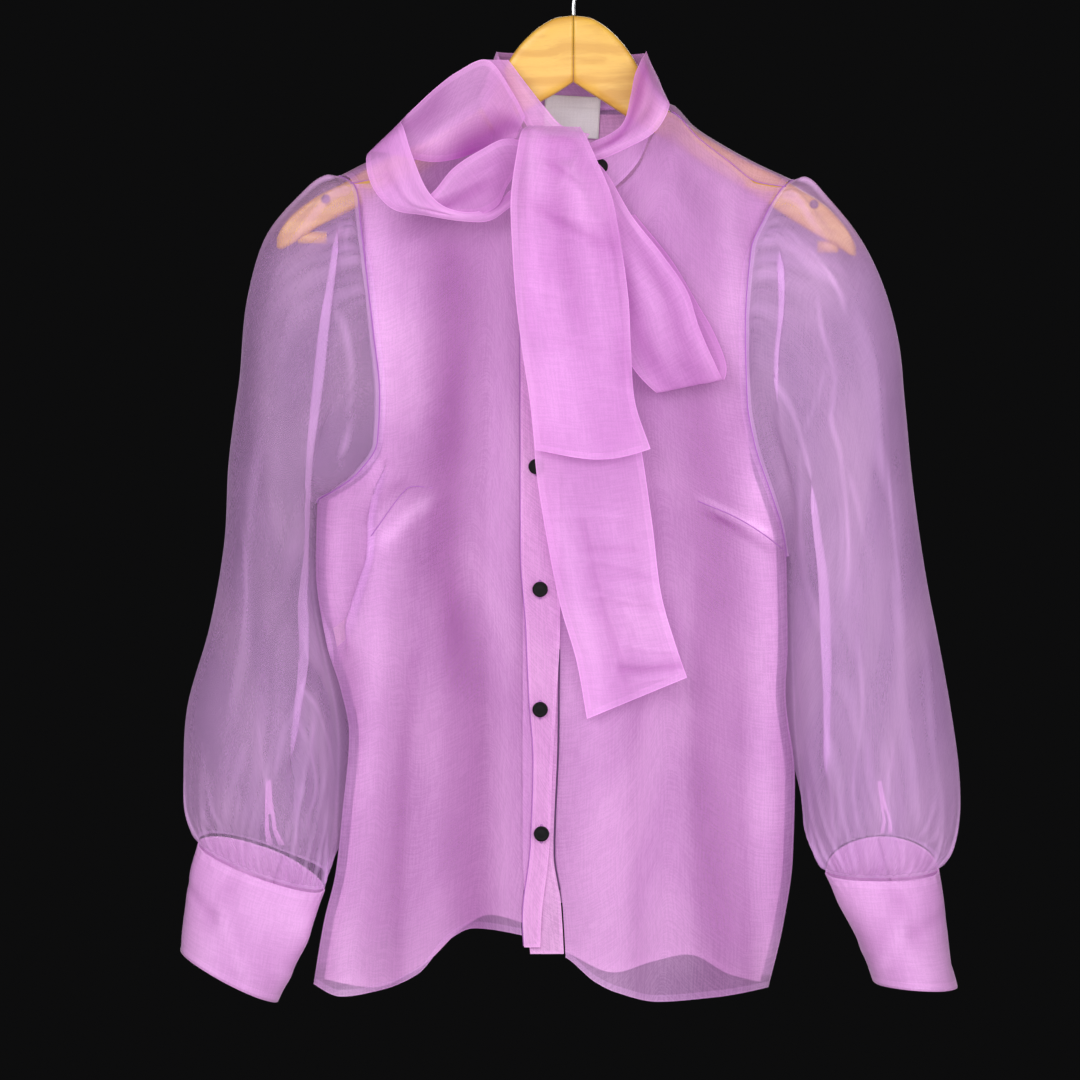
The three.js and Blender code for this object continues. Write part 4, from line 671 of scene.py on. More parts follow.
def cloth(name, colour, deep, opacity, band=0.15, hem=6.0, stitch=0.0, slub=0.12, patch=0.06, glow=0.3,
          rough=0.62, sheen=0.25, bump=0.15, weave=0.45, edge=0.12):
    """Plain woven cloth: threads with slubs both ways, a denser band along its edges and a line of stitches;
    its colour is multiplied by painted light and shade that the mesh carries as an attribute.
    """
    g = Graph(name)
    uv = g.node("UVMap", uv_map="cloth").outputs[0]
    apart = g.node("SeparateXYZ", {0: g.node("UVMap", uv_map="edge").outputs[0]}).outputs
    over = g.node("SeparateXYZ", {0: uv}).outputs
    warp = g.noise(uv, 1.0, 0.0, (0.75, 0.06, 1))
    weft = g.noise(uv, 1.0, 0.0, (0.06, 0.75, 1))
    grain = g.noise(uv, 0.9, 0.0)
    slubs = g.ramp(g.math("MULTIPLY", g.math("ADD", g.math("ADD", warp, weft), grain), 0.333), 0.34, 0.66)
    threads = g.math("MULTIPLY", g.math("SINE", g.math("MULTIPLY", over[0], THREAD_WAVES)),
                     g.math("SINE", g.math("MULTIPLY", over[1], THREAD_WAVES)))
    patches = g.ramp(g.noise(uv, 0.012, 0.0), 0.3, 0.7)
    near = g.math("MINIMUM", apart[0], apart[1])
    inside = g.ramp(near, hem - 0.4, hem + 0.4, 1.0, 0.0)
    rim = g.ramp(near, 0.2, 1.3, 1.0, 0.0)
    line = g.math("ABSOLUTE", g.math("SUBTRACT", near, hem - 0.7))
    dash = g.math("SINE", g.math("MULTIPLY", g.math("ADD", over[0], over[1]), STITCH_WAVES))
    stitches = g.math("MULTIPLY", g.ramp(line, 0.2, 0.5, 1.0, 0.0), g.ramp(dash, -0.5, 0.2))
    dense = g.node("Attribute", attribute_name="dense").outputs["Fac"]
    alpha = g.math("MULTIPLY_ADD", slubs, slub, opacity - slub / 2)
    alpha = g.math("MULTIPLY_ADD", threads, slub / 3, alpha)
    alpha = g.math("MULTIPLY_ADD", patches, patch, alpha)
    alpha = g.math("MULTIPLY_ADD", inside, band, alpha)
    alpha = g.math("MULTIPLY_ADD", rim, edge, alpha)
    alpha = g.math("MULTIPLY_ADD", stitches, stitch, alpha)
    alpha = g.node("Clamp", {0: g.math("ADD", alpha, dense), 1: 0.0, 2: 1.0}).outputs[0]
    tone_and_painted_shade = g.math("MULTIPLY_ADD", slubs, weave, g.math("MULTIPLY", patches, 1.0 - weave))
    paint = g.colour(deep, colour, tone_and_painted_shade)
    paint = g.colour(paint, deep, g.math("MULTIPLY", stitches, 0.8 if stitch else 0.0))
    # Painted light and shade: the mesh attribute lightens the colour on ridges and bright drapes and darkens it
    # in troughs and shaded folds, green most, so shaded parts look deeper magenta
    painted_shade_attr = g.node("Attribute", attribute_name="tone_and_painted_shade").outputs["Fac"]
    painted_shade_tint = g.node("VectorMath", {0: (0.30, 0.46, 0.30), 3: painted_shade_attr}, operation="SCALE").outputs[0]
    painted_shade_tint = g.node("VectorMath", {0: painted_shade_tint, 1: (1, 1, 1)}, operation="ADD").outputs[0]
    paint = g.node("VectorMath", {0: paint, 1: painted_shade_tint}, operation="MULTIPLY").outputs[0]
    height = g.math("MULTIPLY_ADD", threads, 0.35, g.math("MULTIPLY_ADD", inside, 0.8, slubs))
    relief = {}
    if bump > 0.12:
        relief["Normal"] = g.node("Bump", {"Strength": bump, "Distance": 0.0003, "Height": height}).outputs[0]
    front = g.node("BsdfPrincipled", {
        "Base Color": paint, "Roughness": rough, "Specular IOR Level": 0.3, "Sheen Weight": sheen,
        "Sheen Roughness": 0.4, **relief,
    }).outputs[0]
    through_light = g.node("BsdfTranslucent", {"Color": paint, **relief}).outputs[0]
    woven = g.node("MixShader", {0: glow, 1: front, 2: through_light}).outputs[0]
    clear = g.node("BsdfTransparent").outputs[0]
    return g.finish(g.node("MixShader", {0: alpha, 1: clear, 2: woven}).outputs[0])


def wood(name):
    g = Graph(name)
    place = g.node("TexCoord").outputs["Object"]
    bend = g.noise(place, 14.0, 2.0, (1, 1, 1))
    rings = g.node("Mapping", {"Vector": place, "Scale": (9, 160, 160)}).outputs[0]
    bend = g.node("Mapping", {"Vector": bend, "Scale": (3, 3, 3)}).outputs[0]
    rings = g.node("VectorMath", {0: rings, 1: bend}, operation="ADD").outputs[0]
    grain = g.ramp(g.node("TexNoise", {"Vector": rings, "Scale": 1.0, "Detail": 3.0}).outputs[0], 0.35, 0.65)
    pores = g.ramp(g.noise(place, 60.0, 2.0, (2, 40, 40)), 0.56, 0.7)
    paint = g.colour((0.60, 0.31, 0.045, 1), (0.70, 0.40, 0.062, 1), grain)
    paint = g.colour(paint, (0.52, 0.26, 0.05, 1), g.math("MULTIPLY", pores, 0.35))
    relief = g.node("Bump", {"Strength": 0.15, "Distance": 0.0004, "Height": pores}).outputs[0]
    rough = g.ramp(grain, 0.0, 1.0, 0.48, 0.38)
    return g.finish(g.node("BsdfPrincipled", {
        "Base Color": paint, "Roughness": rough, "Coat Weight": 0.1, "Coat Roughness": 0.25, "Normal": relief,
    }).outputs[0])


def hard(name, colour, roughness, metallic=0.0, shine=0.5):
    g = Graph(name)
    place = g.node("TexCoord").outputs["Object"]
    marks = g.noise(place, 900.0, 3.0, (1, 1, 3))
    smears = g.noise(place, 160.0, 2.0)
    rough = g.math("MULTIPLY_ADD", smears, 0.18, roughness - 0.09)
    paint = g.colour(colour, tuple(min(1, 1.35 * c) for c in colour[:3]) + (1,), g.ramp(marks, 0.4, 0.7))
    relief = g.node("Bump", {"Strength": 0.06, "Distance": 0.0002, "Height": marks}).outputs[0]
    return g.finish(g.node("BsdfPrincipled", {
        "Base Color": paint, "Roughness": rough, "Metallic": metallic,
        "Specular IOR Level": shine, "Normal": relief,
    }).outputs[0])


SHELL = cloth("shell_sheer", (0.76, 0.40, 0.78, 1), (0.66, 0.31, 0.71, 1), 0.43, band=0.14, hem=5.0,
              stitch=0.08, slub=0.08, bump=0.1)
SLEEVE = cloth("sleeve_sheer", (0.90, 0.54, 0.94, 1), (0.80, 0.46, 0.88, 1), 0.27, band=0.2, hem=3.0,
               slub=0.035, patch=0.03, bump=0.05, weave=0.25)
LINING = cloth("lining_voile", (0.72, 0.38, 0.67, 1), (0.62, 0.29, 0.58, 1), 0.79, band=0.1, glow=0.2,
               slub=0.08, bump=0.1)
PLACKET = cloth("placket_double", (0.86, 0.45, 0.82, 1), (0.76, 0.35, 0.74, 1), 0.76, band=0.1, hem=2.6,
                stitch=0.1)
TIE = cloth("tie_double", (0.92, 0.46, 0.90, 1), (0.84, 0.38, 0.84, 1), 0.64, band=0.09, hem=5.0, slub=0.05,
            glow=0.35, bump=0.06, weave=0.3, edge=0.2)
BAND = cloth("neckband_double", (0.82, 0.42, 0.84, 1), (0.72, 0.32, 0.76, 1), 0.66, band=0.12, hem=3.0,
             slub=0.05)
CUFF = cloth("cuff_layered", (0.83, 0.44, 0.82, 1), (0.74, 0.36, 0.74, 1), 0.78, band=0.08, slub=0.05,
             glow=0.2, bump=0.13, weave=0.3)
BIND = cloth("slit_binding", (0.90, 0.44, 0.86, 1), (0.80, 0.36, 0.80, 1), 0.7, band=0.1, hem=1.5, slub=0.05)
THREAD = cloth("seam_cord", (0.50, 0.18, 0.60, 1), (0.40, 0.12, 0.50, 1), 0.8, band=0.0, slub=0.1, glow=0.1)
# Near-black cloth for a painted shadow in the placket's gap, not a thread
GAP_SHADOW_PAINT = cloth("placket_gap_painted_shadow", (0.10, 0.03, 0.12, 1), (0.06, 0.02, 0.08, 1), 0.9, band=0.0, slub=0.05,
              glow=0.05, sheen=0.0)
TAPE = cloth("label_tape", (0.95, 0.94, 0.94, 1), (0.88, 0.87, 0.87, 1), 0.97, band=0.02, hem=1.2, slub=0.02,
             patch=0.01, glow=0.35, sheen=0.05)
WOOD = wood("hanger_beech")
STEEL = hard("hook_wire", (0.62, 0.62, 0.64, 1), 0.28, metallic=1.0)
RESIN = hard("button_black", (0.0015, 0.0012, 0.002, 1), 0.55, shine=0.12)

SIDE_SIGN = {"left": 1.0, "right": -1.0}
ROWS_DOWN = 150


def falls(count):
    """Places of the rows down a panel, closer together at the underarm."""
    even = np.linspace(0, 1, count)
    return even - 0.045 * np.sin(2 * math.pi * even) * np.sin(math.pi * even)


# Fronts and their linings
# Painted light and shade along the darts: a lighter band and a darker band beside each
DART_PAINTED_SHADING = [
    (92, -424, 160, -461, 3, 1.3), (94, -434, 158, -471, 3.5, -0.9), (-104, -424, -150, -466, 5, 1.1),
    (-122, -412, -160, -446, 5, -0.9), (-146, -392, -158, -486, 4, 0.9),
]
SHELL_COLUMNS, LINING_COLUMNS, PLACKET_GAP = 84, 60, 1.2


def front_grid(inner, outer, top, hem, columns, lines, seed, lift=0.0, offset=0.0):
    """A front's points and its painted light and shade, from its placket's edge out to its side edge."""
    share = np.sin(np.linspace(0, 1, columns) * math.pi / 2)[None, :]
    fall = falls(ROWS_DOWN)[:, None]
    top_x = mix(inner(0), outer(0), share)
    hem_x = mix(inner(HEM_Z), outer(HEM_Z), share)
    z = mix(top(top_x), hem(hem_x), fall)
    x = mix(inner(z), outer(z), share)
    folds = creases(x, z, lines)
    fine = 1.5 * folds + ripple(x, z, 34, 0.25, seed)
    # Painted light and shade: bright and dark bands down the drapes and darts, lighter on crease ridges and
    # darker in their troughs
    tone_and_painted_shade = painted_drape_shading(x, z, PAINTED_DRAPE_SHADING) + creases(x, z, DART_PAINTED_SHADING) + 0.2 * folds
    return body_point("front", x, z, lift, offset, fine), tone_and_painted_shade


def lining_inset(z):
    return mix(2.5, 7.5, smoothstep(-z, 370, 415))


def underarm_tuck(grid):
    """The fold below the wearer's right underarm, in place, and how dense it gets; none at the side edge."""
    x, y, dense = tucks(grid[..., 0], grid[..., 1], grid[..., 2], FRONT_TUCKS)
    keep = smoothstep(np.linspace(1, 0, SHELL_COLUMNS), 0.0, 0.08)[None, :]
    grid[..., 0] = mix(grid[..., 0], x, keep)
    grid[..., 1] = mix(grid[..., 1], y, keep)
    return dense * keep


def lining(name, node, inner, outer, seed):
    """A front's lining, thinner near the shoulder seam, where the hanger shows through."""
    grid, tone_and_painted_shade = front_grid(inner, outer, lambda x: front_top(x) - 3, lining_hem, LINING_COLUMNS,
                            LINING_CREASES, seed, offset=-LINING_DROP)
    thin = -0.5 * (1 - smoothstep(ridge(grid[..., 0]) - grid[..., 2], 18, 34))
    return make(name, grid, LINING, [node], tone_and_painted_shade=tone_and_painted_shade, dense=thin, edges="last hem")


grid, tone_and_painted_shade = front_grid(lambda z: placket_low(z) - PLACKET_GAP, SIDES["right"]["frontX"], front_top, front_hem,
                        SHELL_COLUMNS, FRONT_CREASES, 1, lift=FRONT_LAP)
side_dense = 0.17 * smoothstep(np.linspace(0, 1, SHELL_COLUMNS), 0.72, 0.94)[None, :]
dense = underarm_tuck(grid) + side_dense
shell_right = make("shell_front_right", grid, SHELL, ["front_right"], dense=dense, tone_and_painted_shade=tone_and_painted_shade,
                   edges="last hem")
grid, tone_and_painted_shade = front_grid(lambda z: under_high(z) + PLACKET_GAP, SIDES["left"]["frontX"], front_top, front_hem,
                        SHELL_COLUMNS, FRONT_CREASES, 2)
shell_left = make("shell_front_left", grid, SHELL, ["front_left"], tone_and_painted_shade=tone_and_painted_shade, edges="last hem")
inner_right = lining("inner_front_right", "lining_right", lambda z: under_low(z) - PLACKET_GAP,
                     lambda z: SIDES["right"]["frontX"](z) + lining_inset(z), 3)
inner_left = lining("inner_front_left", "lining_left", lambda z: under_high(z) + PLACKET_GAP,
                    lambda z: SIDES["left"]["frontX"](z) - lining_inset(z), 4)


# Back and its lining
def over_point(y, z_of, start, side):
    end_z = z_of(side["backX"](0))
    end_x = (side["frontX"] if y < 0 else side["backX"])(end_z)
    neck = np.sign(start) * NECK_HALF
    x = mix(neck, end_x, (start - neck) / (side["backX"](0) - neck))
    return np.array([x, y, z_of(x)])


def back_grid(over, hem, drop, inset, seed):
    def edge(side, z):
        return side["backX"](z) - np.sign(side["backX"](z)) * inset(z)

    shares = np.linspace(0, 1, 34) ** 1.6
    starts = np.concatenate([mix(edge(SIDES["right"], 0), -NECK_HALF, shares),
                             np.linspace(1 - NECK_HALF, NECK_HALF - 1, 40),
                             mix(edge(SIDES["left"], 0), NECK_HALF, shares)[::-1]])
    neck = np.abs(starts) < NECK_HALF
    rows = []
    for y, z_of in over:
        row = [np.full(3, np.nan) if at_neck else
               over_point(y, z_of, start, SIDES["left" if start > BODY_CENTRE else "right"])
               for start, at_neck in zip(starts, neck)]
        rows.append(row)
    fall = falls(ROWS_DOWN)[:, None]
    top = np.where(neck, BACK_NECK_Z - drop, ridge(starts) - 20)[None, :]
    z = mix(top, hem(starts)[None, :], fall)
    sides = [SIDES["left" if start > BODY_CENTRE else "right"] for start in starts]
    widths = np.array([edge(side, 0) - BODY_CENTRE for side in sides])
    share = (starts - BODY_CENTRE) / widths
    edge_x = np.stack([edge(side, z[:, k]) for k, side in enumerate(sides)], 1)
    x = mix(BODY_CENTRE, edge_x, share[None, :])
    fine = creases(x, z, BACK_CREASES if not drop else LINING_CREASES) + ripple(x, z, 36, 0.3, seed)
    body = body_point("back", x, z, 0, -drop, fine * smoothstep(ridge(x) - z, 20, 70))
    # Painted light and shade in bands down the back's drapes
    tone_and_painted_shade = painted_drape_shading(x, z, PAINTED_BACK_DRAPE_SHADING)
    if not rows:
        return body, tone_and_painted_shade
    return np.concatenate([np.array(rows), body]), np.concatenate([np.zeros((len(rows), len(starts))), tone_and_painted_shade])


OVER = [
    (SHOULDER_FRONT, lambda x: front_top(x) + 1.2),
    (-12.5, lambda x: mix(front_top(x) + 1.2, ridge(x) - 2.5, 0.45)),
    (-9, lambda x: ridge(x) - 2.5), (-5, lambda x: ridge(x) - 0.8), (0, lambda x: ridge(x) + 0.0),
    (5, lambda x: ridge(x) - 0.8), (10, lambda x: ridge(x) - 3), (14, lambda x: ridge(x) - 9),
]
grid, tone_and_painted_shade = back_grid(OVER, back_hem, 0, lambda z: 0 * z, 5)
shell_back = make("shell_back", grid, SHELL, ["back_panel"], tone_and_painted_shade=tone_and_painted_shade)
grid, tone_and_painted_shade = back_grid([], lambda x: back_hem(x) + 12, LINING_DROP, lining_inset, 6)
inner_back = make("inner_back", grid, LINING, ["lining_back"], tone_and_painted_shade=tone_and_painted_shade)


# Plackets
def placket(name, low, high, foot, lift, node):
    share = np.linspace(0, 1, 18)[None, :]
    fall = np.linspace(0, 1, 170)[:, None]
    top = front_top(mix(low(-208), high(-208), share))
    z = mix(top, foot, fall)
    x = mix(low(z), high(z), share)
    fine = ripple(x, z, 22, 0.22, 8) + 0.3 * np.sin(math.pi * share)
    return make(name, body_point("front", x, z, lift, 0, fine), PLACKET, [node])


placket_top = placket("placket_over", placket_low, placket_high, -763, FRONT_LAP, "placket_top")
placket_under = placket("placket_beneath", under_low, under_high, -768, 0, "placket_under")


# Sleeves and cuffs as rings: an outer edge at angle 0 and the front a quarter turn on
def ring(rows, i, angles, wave=0.0):
    out_x, out_z, in_x, in_z, depth, front, back = (
        rows[key][i] for key in ("outX", "outZ", "inX", "inZ", "depth", "front", "back"))
    bow = rows["bow"][i] if "bow" in rows else 0
    cos, sin = np.cos(angles), np.sin(angles)
    x = (out_x + in_x) / 2 + (out_x - in_x) / 2 * cos * (1 + wave)
    z = (out_z + in_z) / 2 + (out_z - in_z) / 2 * cos * (1 + wave) + sin * np.where(sin > 0, front, -back)
    x = x - bow * np.abs(sin) ** 1.4 * smoothstep(cos, -0.9, 0.1)
    return np.stack([x, -sin * depth * (1 + wave), z], -1)


def armhole_ring(name, angles, space):
    rows, side, out = {"left": SIDE_LEFT, "right": SIDE_RIGHT}[name], SIDES[name], SIDE_SIGN[name]
    top, bottom = rows["z"][0], rows["z"][rows["frontY"] > -1][0]
    z = mix(bottom, top, (1 + np.cos(angles)) / 2)
    front = np.sin(angles) > 0
    x = np.where(front, side["frontX"](z), side["backX"](z))
    y = np.where(front, side["frontY"](z), side["backY"](z))
    rise = 1 - smoothstep(z, bottom, bottom + 70)
    away = np.stack([out * (1 - 0.5 * rise), 0 * z, rise], -1)
    return np.stack([x, y, z], -1) + away / np.linalg.norm(away, axis=-1, keepdims=True) * space


def down_rings(rings, count):
    """Rows of points down smooth curves through a stack of rings."""
    return np.stack([through(rings[:, k], count) for k in range(rings.shape[1])], 1)


def gathers(angle, distance, count, seed, reach, height):
    """Small folds that spread from a gathered seam, uneven in place, length and height."""
    pick = np.random.default_rng(seed)
    total = np.zeros(np.broadcast(angle, distance).shape)
    for k in range(count):
        at = (k + pick.uniform(-0.4, 0.4)) / count * 2 * math.pi
        long, tall = reach * pick.uniform(0.3, 1.5), height * pick.uniform(0.4, 1.2)
        wide = pick.uniform(1.0, 1.9) / count * (1 + 0.6 * np.clip(distance / reach, 0, 2))
        off = (angle - at - pick.uniform(-0.2, 0.2) * distance / reach + math.pi) % (2 * math.pi) - math.pi
        total += tall * np.exp(-((off / wide) ** 2)) * np.exp(-((distance / long) ** 1.5))
    return total - height * 0.6 * np.exp(-distance / reach)


# How far the sleeves' backs lean behind the body's edge, then the depths from which and to which they do
LEAN = {"left": (15, 440, 500, 600, 690), "right": (21, 400, 470, 660, 740)}
LEAN_ANGLE = math.radians(215)


def sleeve(name, rows):
    angles = np.linspace(0, 2 * math.pi, 264, endpoint=False)
    rings = np.stack([armhole_ring(name, angles, 0.5)] + [ring(rows, i, angles) for i in range(14)])
    grid = down_rings(rings, 150)
    angles = angles[None, :]
    sin, cos = np.sin(angles), np.cos(angles)
    down = lengths(grid, 0)
    up = down[-1:] - down
    swell = gathers(angles, down, 30, 21, 44, 4.6) * smoothstep(cos, -0.1, 0.5) * smoothstep(down, 0, 10)
    swell = swell + gathers(angles, up, 46, 22, 38, 2.8) * smoothstep(up, 0, 7)
    flank = np.abs(np.gradient(swell, axis=1)) / 1.5
    grid = grid + normals(grid, True) * (swell * SIDE_SIGN[name])[..., None]
    x, y, z = grid[..., 0], grid[..., 1], grid[..., 2]
    reach, *depths = LEAN[name]
    lean = np.exp(-(((angles - LEAN_ANGLE) / 0.42) ** 2))
    lean = lean * smoothstep(-z, *depths[:2]) * (1 - smoothstep(-z, *depths[2:]))
    x = x - SIDE_SIGN[name] * reach * lean
    y = y + 3 * lean
    rings_apart = smoothstep(down, 8, 50) * smoothstep(up, 6, 40)
    for face in (1, -1):
        lines = [line[1:] for line in SLEEVE_RIDGES[name] if line[0] == face]
        near = smoothstep(face * sin, 0.1, 0.55) * rings_apart
        thin = thin_lines(x, z, SLEEVE_LINES[name]) if face > 0 else 0
        rise = near * (creases(x, z, lines) + ripple(x, z, 30, 0.5, 31 + face) + 5 * thin)
        y = y - face * rise
        flank = flank + np.abs(np.gradient(rise, axis=1)) / 1.5
    folded_x, folded_y, dense = tucks(x, y, z, SLEEVE_TUCKS[name])
    near = smoothstep(sin, 0.15, 0.5)
    dense = np.maximum(dense, thin_lines(x, z, SLEEVE_LINES[name]))
    grid = np.stack([mix(x, folded_x, near), mix(y, folded_y, near), z], -1)
    rim = 0.11 * np.exp(-((sin / 0.4) ** 2)) + 0.12 * np.exp(-((sin / 0.07) ** 2))
    rim = rim * smoothstep(down, 20, 80) + 0.26 * np.clip(flank, 0, 0.8)
    rim = rim + (0.035 if name == "left" else -0.02)
    if name == "right":  # its middle looks thinner
        middle = smoothstep(-z, 230, 320) * (1 - smoothstep(-z, 480, 600)) * smoothstep(sin, 0, 0.5)
        rim = rim - 0.06 * middle * np.exp(-(((x + 226) / 22) ** 2))
    return make("sleeve_sheer_" + name, grid, SLEEVE, ["sleeve_" + name], closed=True,
                dense=dense * near + rim, edges="ends")


sleeve_left, sleeve_right = sleeve("left", SLEEVE_LEFT), sleeve("right", SLEEVE_RIGHT)


# Cuffs: a folded band that laps over itself at the back, where its button is
CUFF_CREASES = [
    (20, 10, 60, 70, 9, 1.1), (120, 0, 90, 60, 8, -1.1), (170, 12, 200, 70, 9, 1.1), (100, 20, 140, 84, 6, 1.0),
    (60, 30, 110, 40, 5, -0.8), (150, 60, 210, 78, 6, 0.9), (20, 60, 80, 84, 5, -0.8),
]


def cuff(name, rows, start):
    share = np.linspace(0, 1, 190)
    turn = math.radians(start) + share * (2 * math.pi + 0.3)
    rings = np.stack([ring(rows, i, turn) for i in range(len(rows["outX"]))])
    grid = down_rings(rings, 44)
    lap = 2.1 * smoothstep(share, 0.84, 0.95)[None, :]
    across, down = lengths(grid, 1), lengths(grid, 0)
    soft = ripple(across, down, 46, 0.5, 41) + gathers(turn[None, :], down, 40, 43, 9, 0.5)
    soft = soft + creases(across, down, CUFF_CREASES)
    grid = grid + normals(grid, False) * ((lap + soft) * SIDE_SIGN[name])[..., None]
    # Its creases are painted too: lighter on their ridges, darker in their troughs
    return make("cuff_band_" + name, grid, CUFF, ["cuff_" + name], thickness=1.4,
                tone_and_painted_shade=0.3 * soft, edges="sides ends")


cuff_left, cuff_right = cuff("left", CUFF_LEFT, 268), cuff("right", CUFF_RIGHT, 252)


def binding(name, rows, sleeve_rows):
    """The two bound edges of the sleeve's slit, from its tip down to the cuff."""
    steps, columns = 40, 15
    places = np.linspace(rows["ring"][0], rows["ring"][-1], steps)
    turn, width = curve(rows, "ring", "turn"), curve(rows, "ring", "width")
    grid = np.full((steps, columns, 3), np.nan)
    shares = np.linspace(-0.5, 0.5, columns)
    for i, place in enumerate(places):
        above = min(int(place), 12)
        angle = np.array([math.radians(float(turn(place)))])
        middle = mix(ring(sleeve_rows, above, angle)[0], ring(sleeve_rows, above + 1, angle)[0], place - above)
        lift = 1.5 + 2.2 * mix(0.3, 2.9, float(smoothstep(place, rows["ring"][0] + 1, rows["ring"][-1] - 0.2)))
        for j, share in enumerate(shares):
            if abs(share) < 0.1 and i > 12:
                continue
            roll = 0.5 * math.sin(abs(share) * 2 * math.pi)
            grid[i, j] = middle + np.array([share * float(width(place)), lift + roll, 0])
    return make("slit_edge_" + name, grid, BIND, ["slit_" + name], edges="sides")


slit_left, slit_right = binding("left", SLIT_LEFT, SLEEVE_LEFT), binding("right", SLIT_RIGHT, SLEEVE_RIGHT)


# Neckband and tie
def ribbon(name, rows, node, crown, lines=(), steps=110, columns=34, material=TIE, edges="sides", seed=50,
           wrinkle=0.35, painted_shading_lines=(), painted_shade_base=0.0, sag=0.0):
    """A strip between two edges, a and b. crown bows its middle out and sag curves its lower end; lines are its
    creases. Its colour carries painted light and shade: lighter on the creases' ridges and darker in their
    troughs, with painted bands of light and shade and a painted offset for the whole strip, darker for strips
    in shade, all across and along the strip."""
    a = through(np.stack([rows["ax"], rows["ay"], rows["az"]], -1), steps)[:, None]
    b = through(np.stack([rows["bx"], rows["by"], rows["bz"]], -1), steps)[:, None]
    share = np.linspace(0, 1, columns)[None, :, None]
    grid = mix(a, b, share)
    grid[..., 1] -= crown * np.sin(math.pi * share[..., 0])
    last = smoothstep(np.linspace(0, 1, steps), 0.7, 1)[:, None]
    grid[..., 2] -= sag * last * np.sin(math.pi * share[..., 0] ** 1.2)
    across, down = lengths(grid, 1), lengths(grid, 0)
    middle = across.mean(0, keepdims=True) + 0 * down
    along = down.mean(1, keepdims=True) + 0 * across
    soft = creases(middle, along, lines) + ripple(middle, along, 26, wrinkle, seed)
    keep = smoothstep(share[..., 0], 0, 0.06) * (1 - smoothstep(share[..., 0], 0.94, 1))
    towards = np.sign(-normals(grid, False)[..., 1:2])
    grid = grid + normals(grid, False) * towards * (soft * keep)[..., None]
    # Painted light and shade: lighter on crease ridges, darker in troughs, with painted bands and a whole-strip
    # offset
    tone_and_painted_shade = painted_shade_base + 0.22 * soft + creases(middle, along, painted_shading_lines)
    return make(name, grid, material, [node], edges=edges, tone_and_painted_shade=tone_and_painted_shade)


def band_rows():
    made = []
    for face, x, ax, ay, az in zip(*(COLLAR_BAND[key] for key in ("face", "x", "ax", "ay", "az"))):
        foot = body_point("front", x, front_top(x)) if face > 0 else body_point("back", x, BACK_NECK_Z)
        away = abs(x)
        if face > 0:
            height = 1.5 + 2 * math.sin(math.pi * min(1, away / 50)) + 2.3 * float(smoothstep(away, 55, 68))
        else:
            height = 4.8 * float(smoothstep(away, 58, 70)) - 1
        made.append((ax, ay, az, foot[0] - np.sign(x) * 1.7 * min(1, away / 45), foot[1],
                     foot[2] + height))
    return table("ax ay az bx by bz", made)


def longer(rows, first=(), last=()):
    """A strip's table with rows added at its start or its end."""
    names = list(rows)
    return table(" ".join(names), list(first) + list(zip(*(rows[key] for key in names))) + list(last))


collar = ribbon("collar_stand", band_rows(), "collar_band", 0, steps=170, columns=16, material=BAND,
                wrinkle=0.15)
# The negative offsets below paint whole strips darker as painted shade, deepest on the return strip inside the
# bow
neck_left = ribbon("tie_roll_left", TIE_NECK_LEFT, "tie_neck_left", 2, seed=51, painted_shade_base=-0.5,
                   lines=[(8, 10, 12, 80, 4, 1.4), (18, 30, 10, 120, 3.5, -1.4)],
                   painted_shading_lines=[(6, 0, 8, 110, 5, -1.1), (22, 20, 18, 120, 5, 0.8)])
wider = dict(TIE_NECK_RIGHT, bx=TIE_NECK_RIGHT["bx"] - np.array([7, 9, 9, 6, 0]))
neck_right = ribbon("tie_roll_right", wider, "tie_neck_right", 1, seed=52, lines=[(5, 10, 6, 70, 3, 0.8)])
# The loop's front layer runs on below the return strip to the knot, and the strip starts inside the loop
loop_end = [(-62, -61, -209, -62, -61, -219), (-47, -60, -196, -46, -60, -208)]
loop_right = ribbon(
    "tie_bow_right", longer(TIE_LOOP_RIGHT, last=loop_end), "tie_loop_right", 1.5, steps=220, columns=44,
    seed=53, painted_shade_base=-0.1,
    lines=[(10, 10, 30, 90, 5, 1.8), (30, 0, 40, 90, 6, -1.8), (12, 130, 24, 205, 5, 1.4),
           (26, 140, 18, 215, 4, -1.4)],
    painted_shading_lines=[(20, -30, 26, 130, 26, -0.4), (20, -10, 34, 60, 8, -0.9), (40, 40, 44, 120, 14, -1.0),
           (8, 60, 10, 130, 8, -0.5), (22, 60, 26, 110, 6, 0.5), (16, 150, 20, 240, 9, 0.6),
           (8, 235, 8, 300, 12, -1.0)])
loop_return = ribbon(
    "tie_bow_return", longer(TIE_LOOP_RETURN, first=[(-114, -73, -206, -106, -71.5, -216)]), "tie_loop_return",
    1.5, seed=54, painted_shade_base=-0.95,
    lines=[(8, 5, 14, 70, 4, 1.6), (24, 0, 16, 60, 4, -1.4)],
    painted_shading_lines=[(4, -20, 5, 90, 5, 0.8), (30, -10, 26, 60, 6, 0.35)])
loop_left = ribbon(
    "tie_bow_left", TIE_LOOP_LEFT, "tie_loop_left", 0.5, steps=190, columns=44, seed=55, painted_shade_base=-0.75,
    lines=[(12, 10, 26, 170, 7, 1.8), (34, 60, 38, 190, 6, -1.6), (20, 100, 12, 190, 5, 1.2)],
    painted_shading_lines=[(50, 0, 60, 150, 12, -0.6), (24, 20, 26, 210, 7, 0.9), (2, 20, 4, 210, 5, 0.8),
           (40, 120, 46, 230, 8, 0.6)])
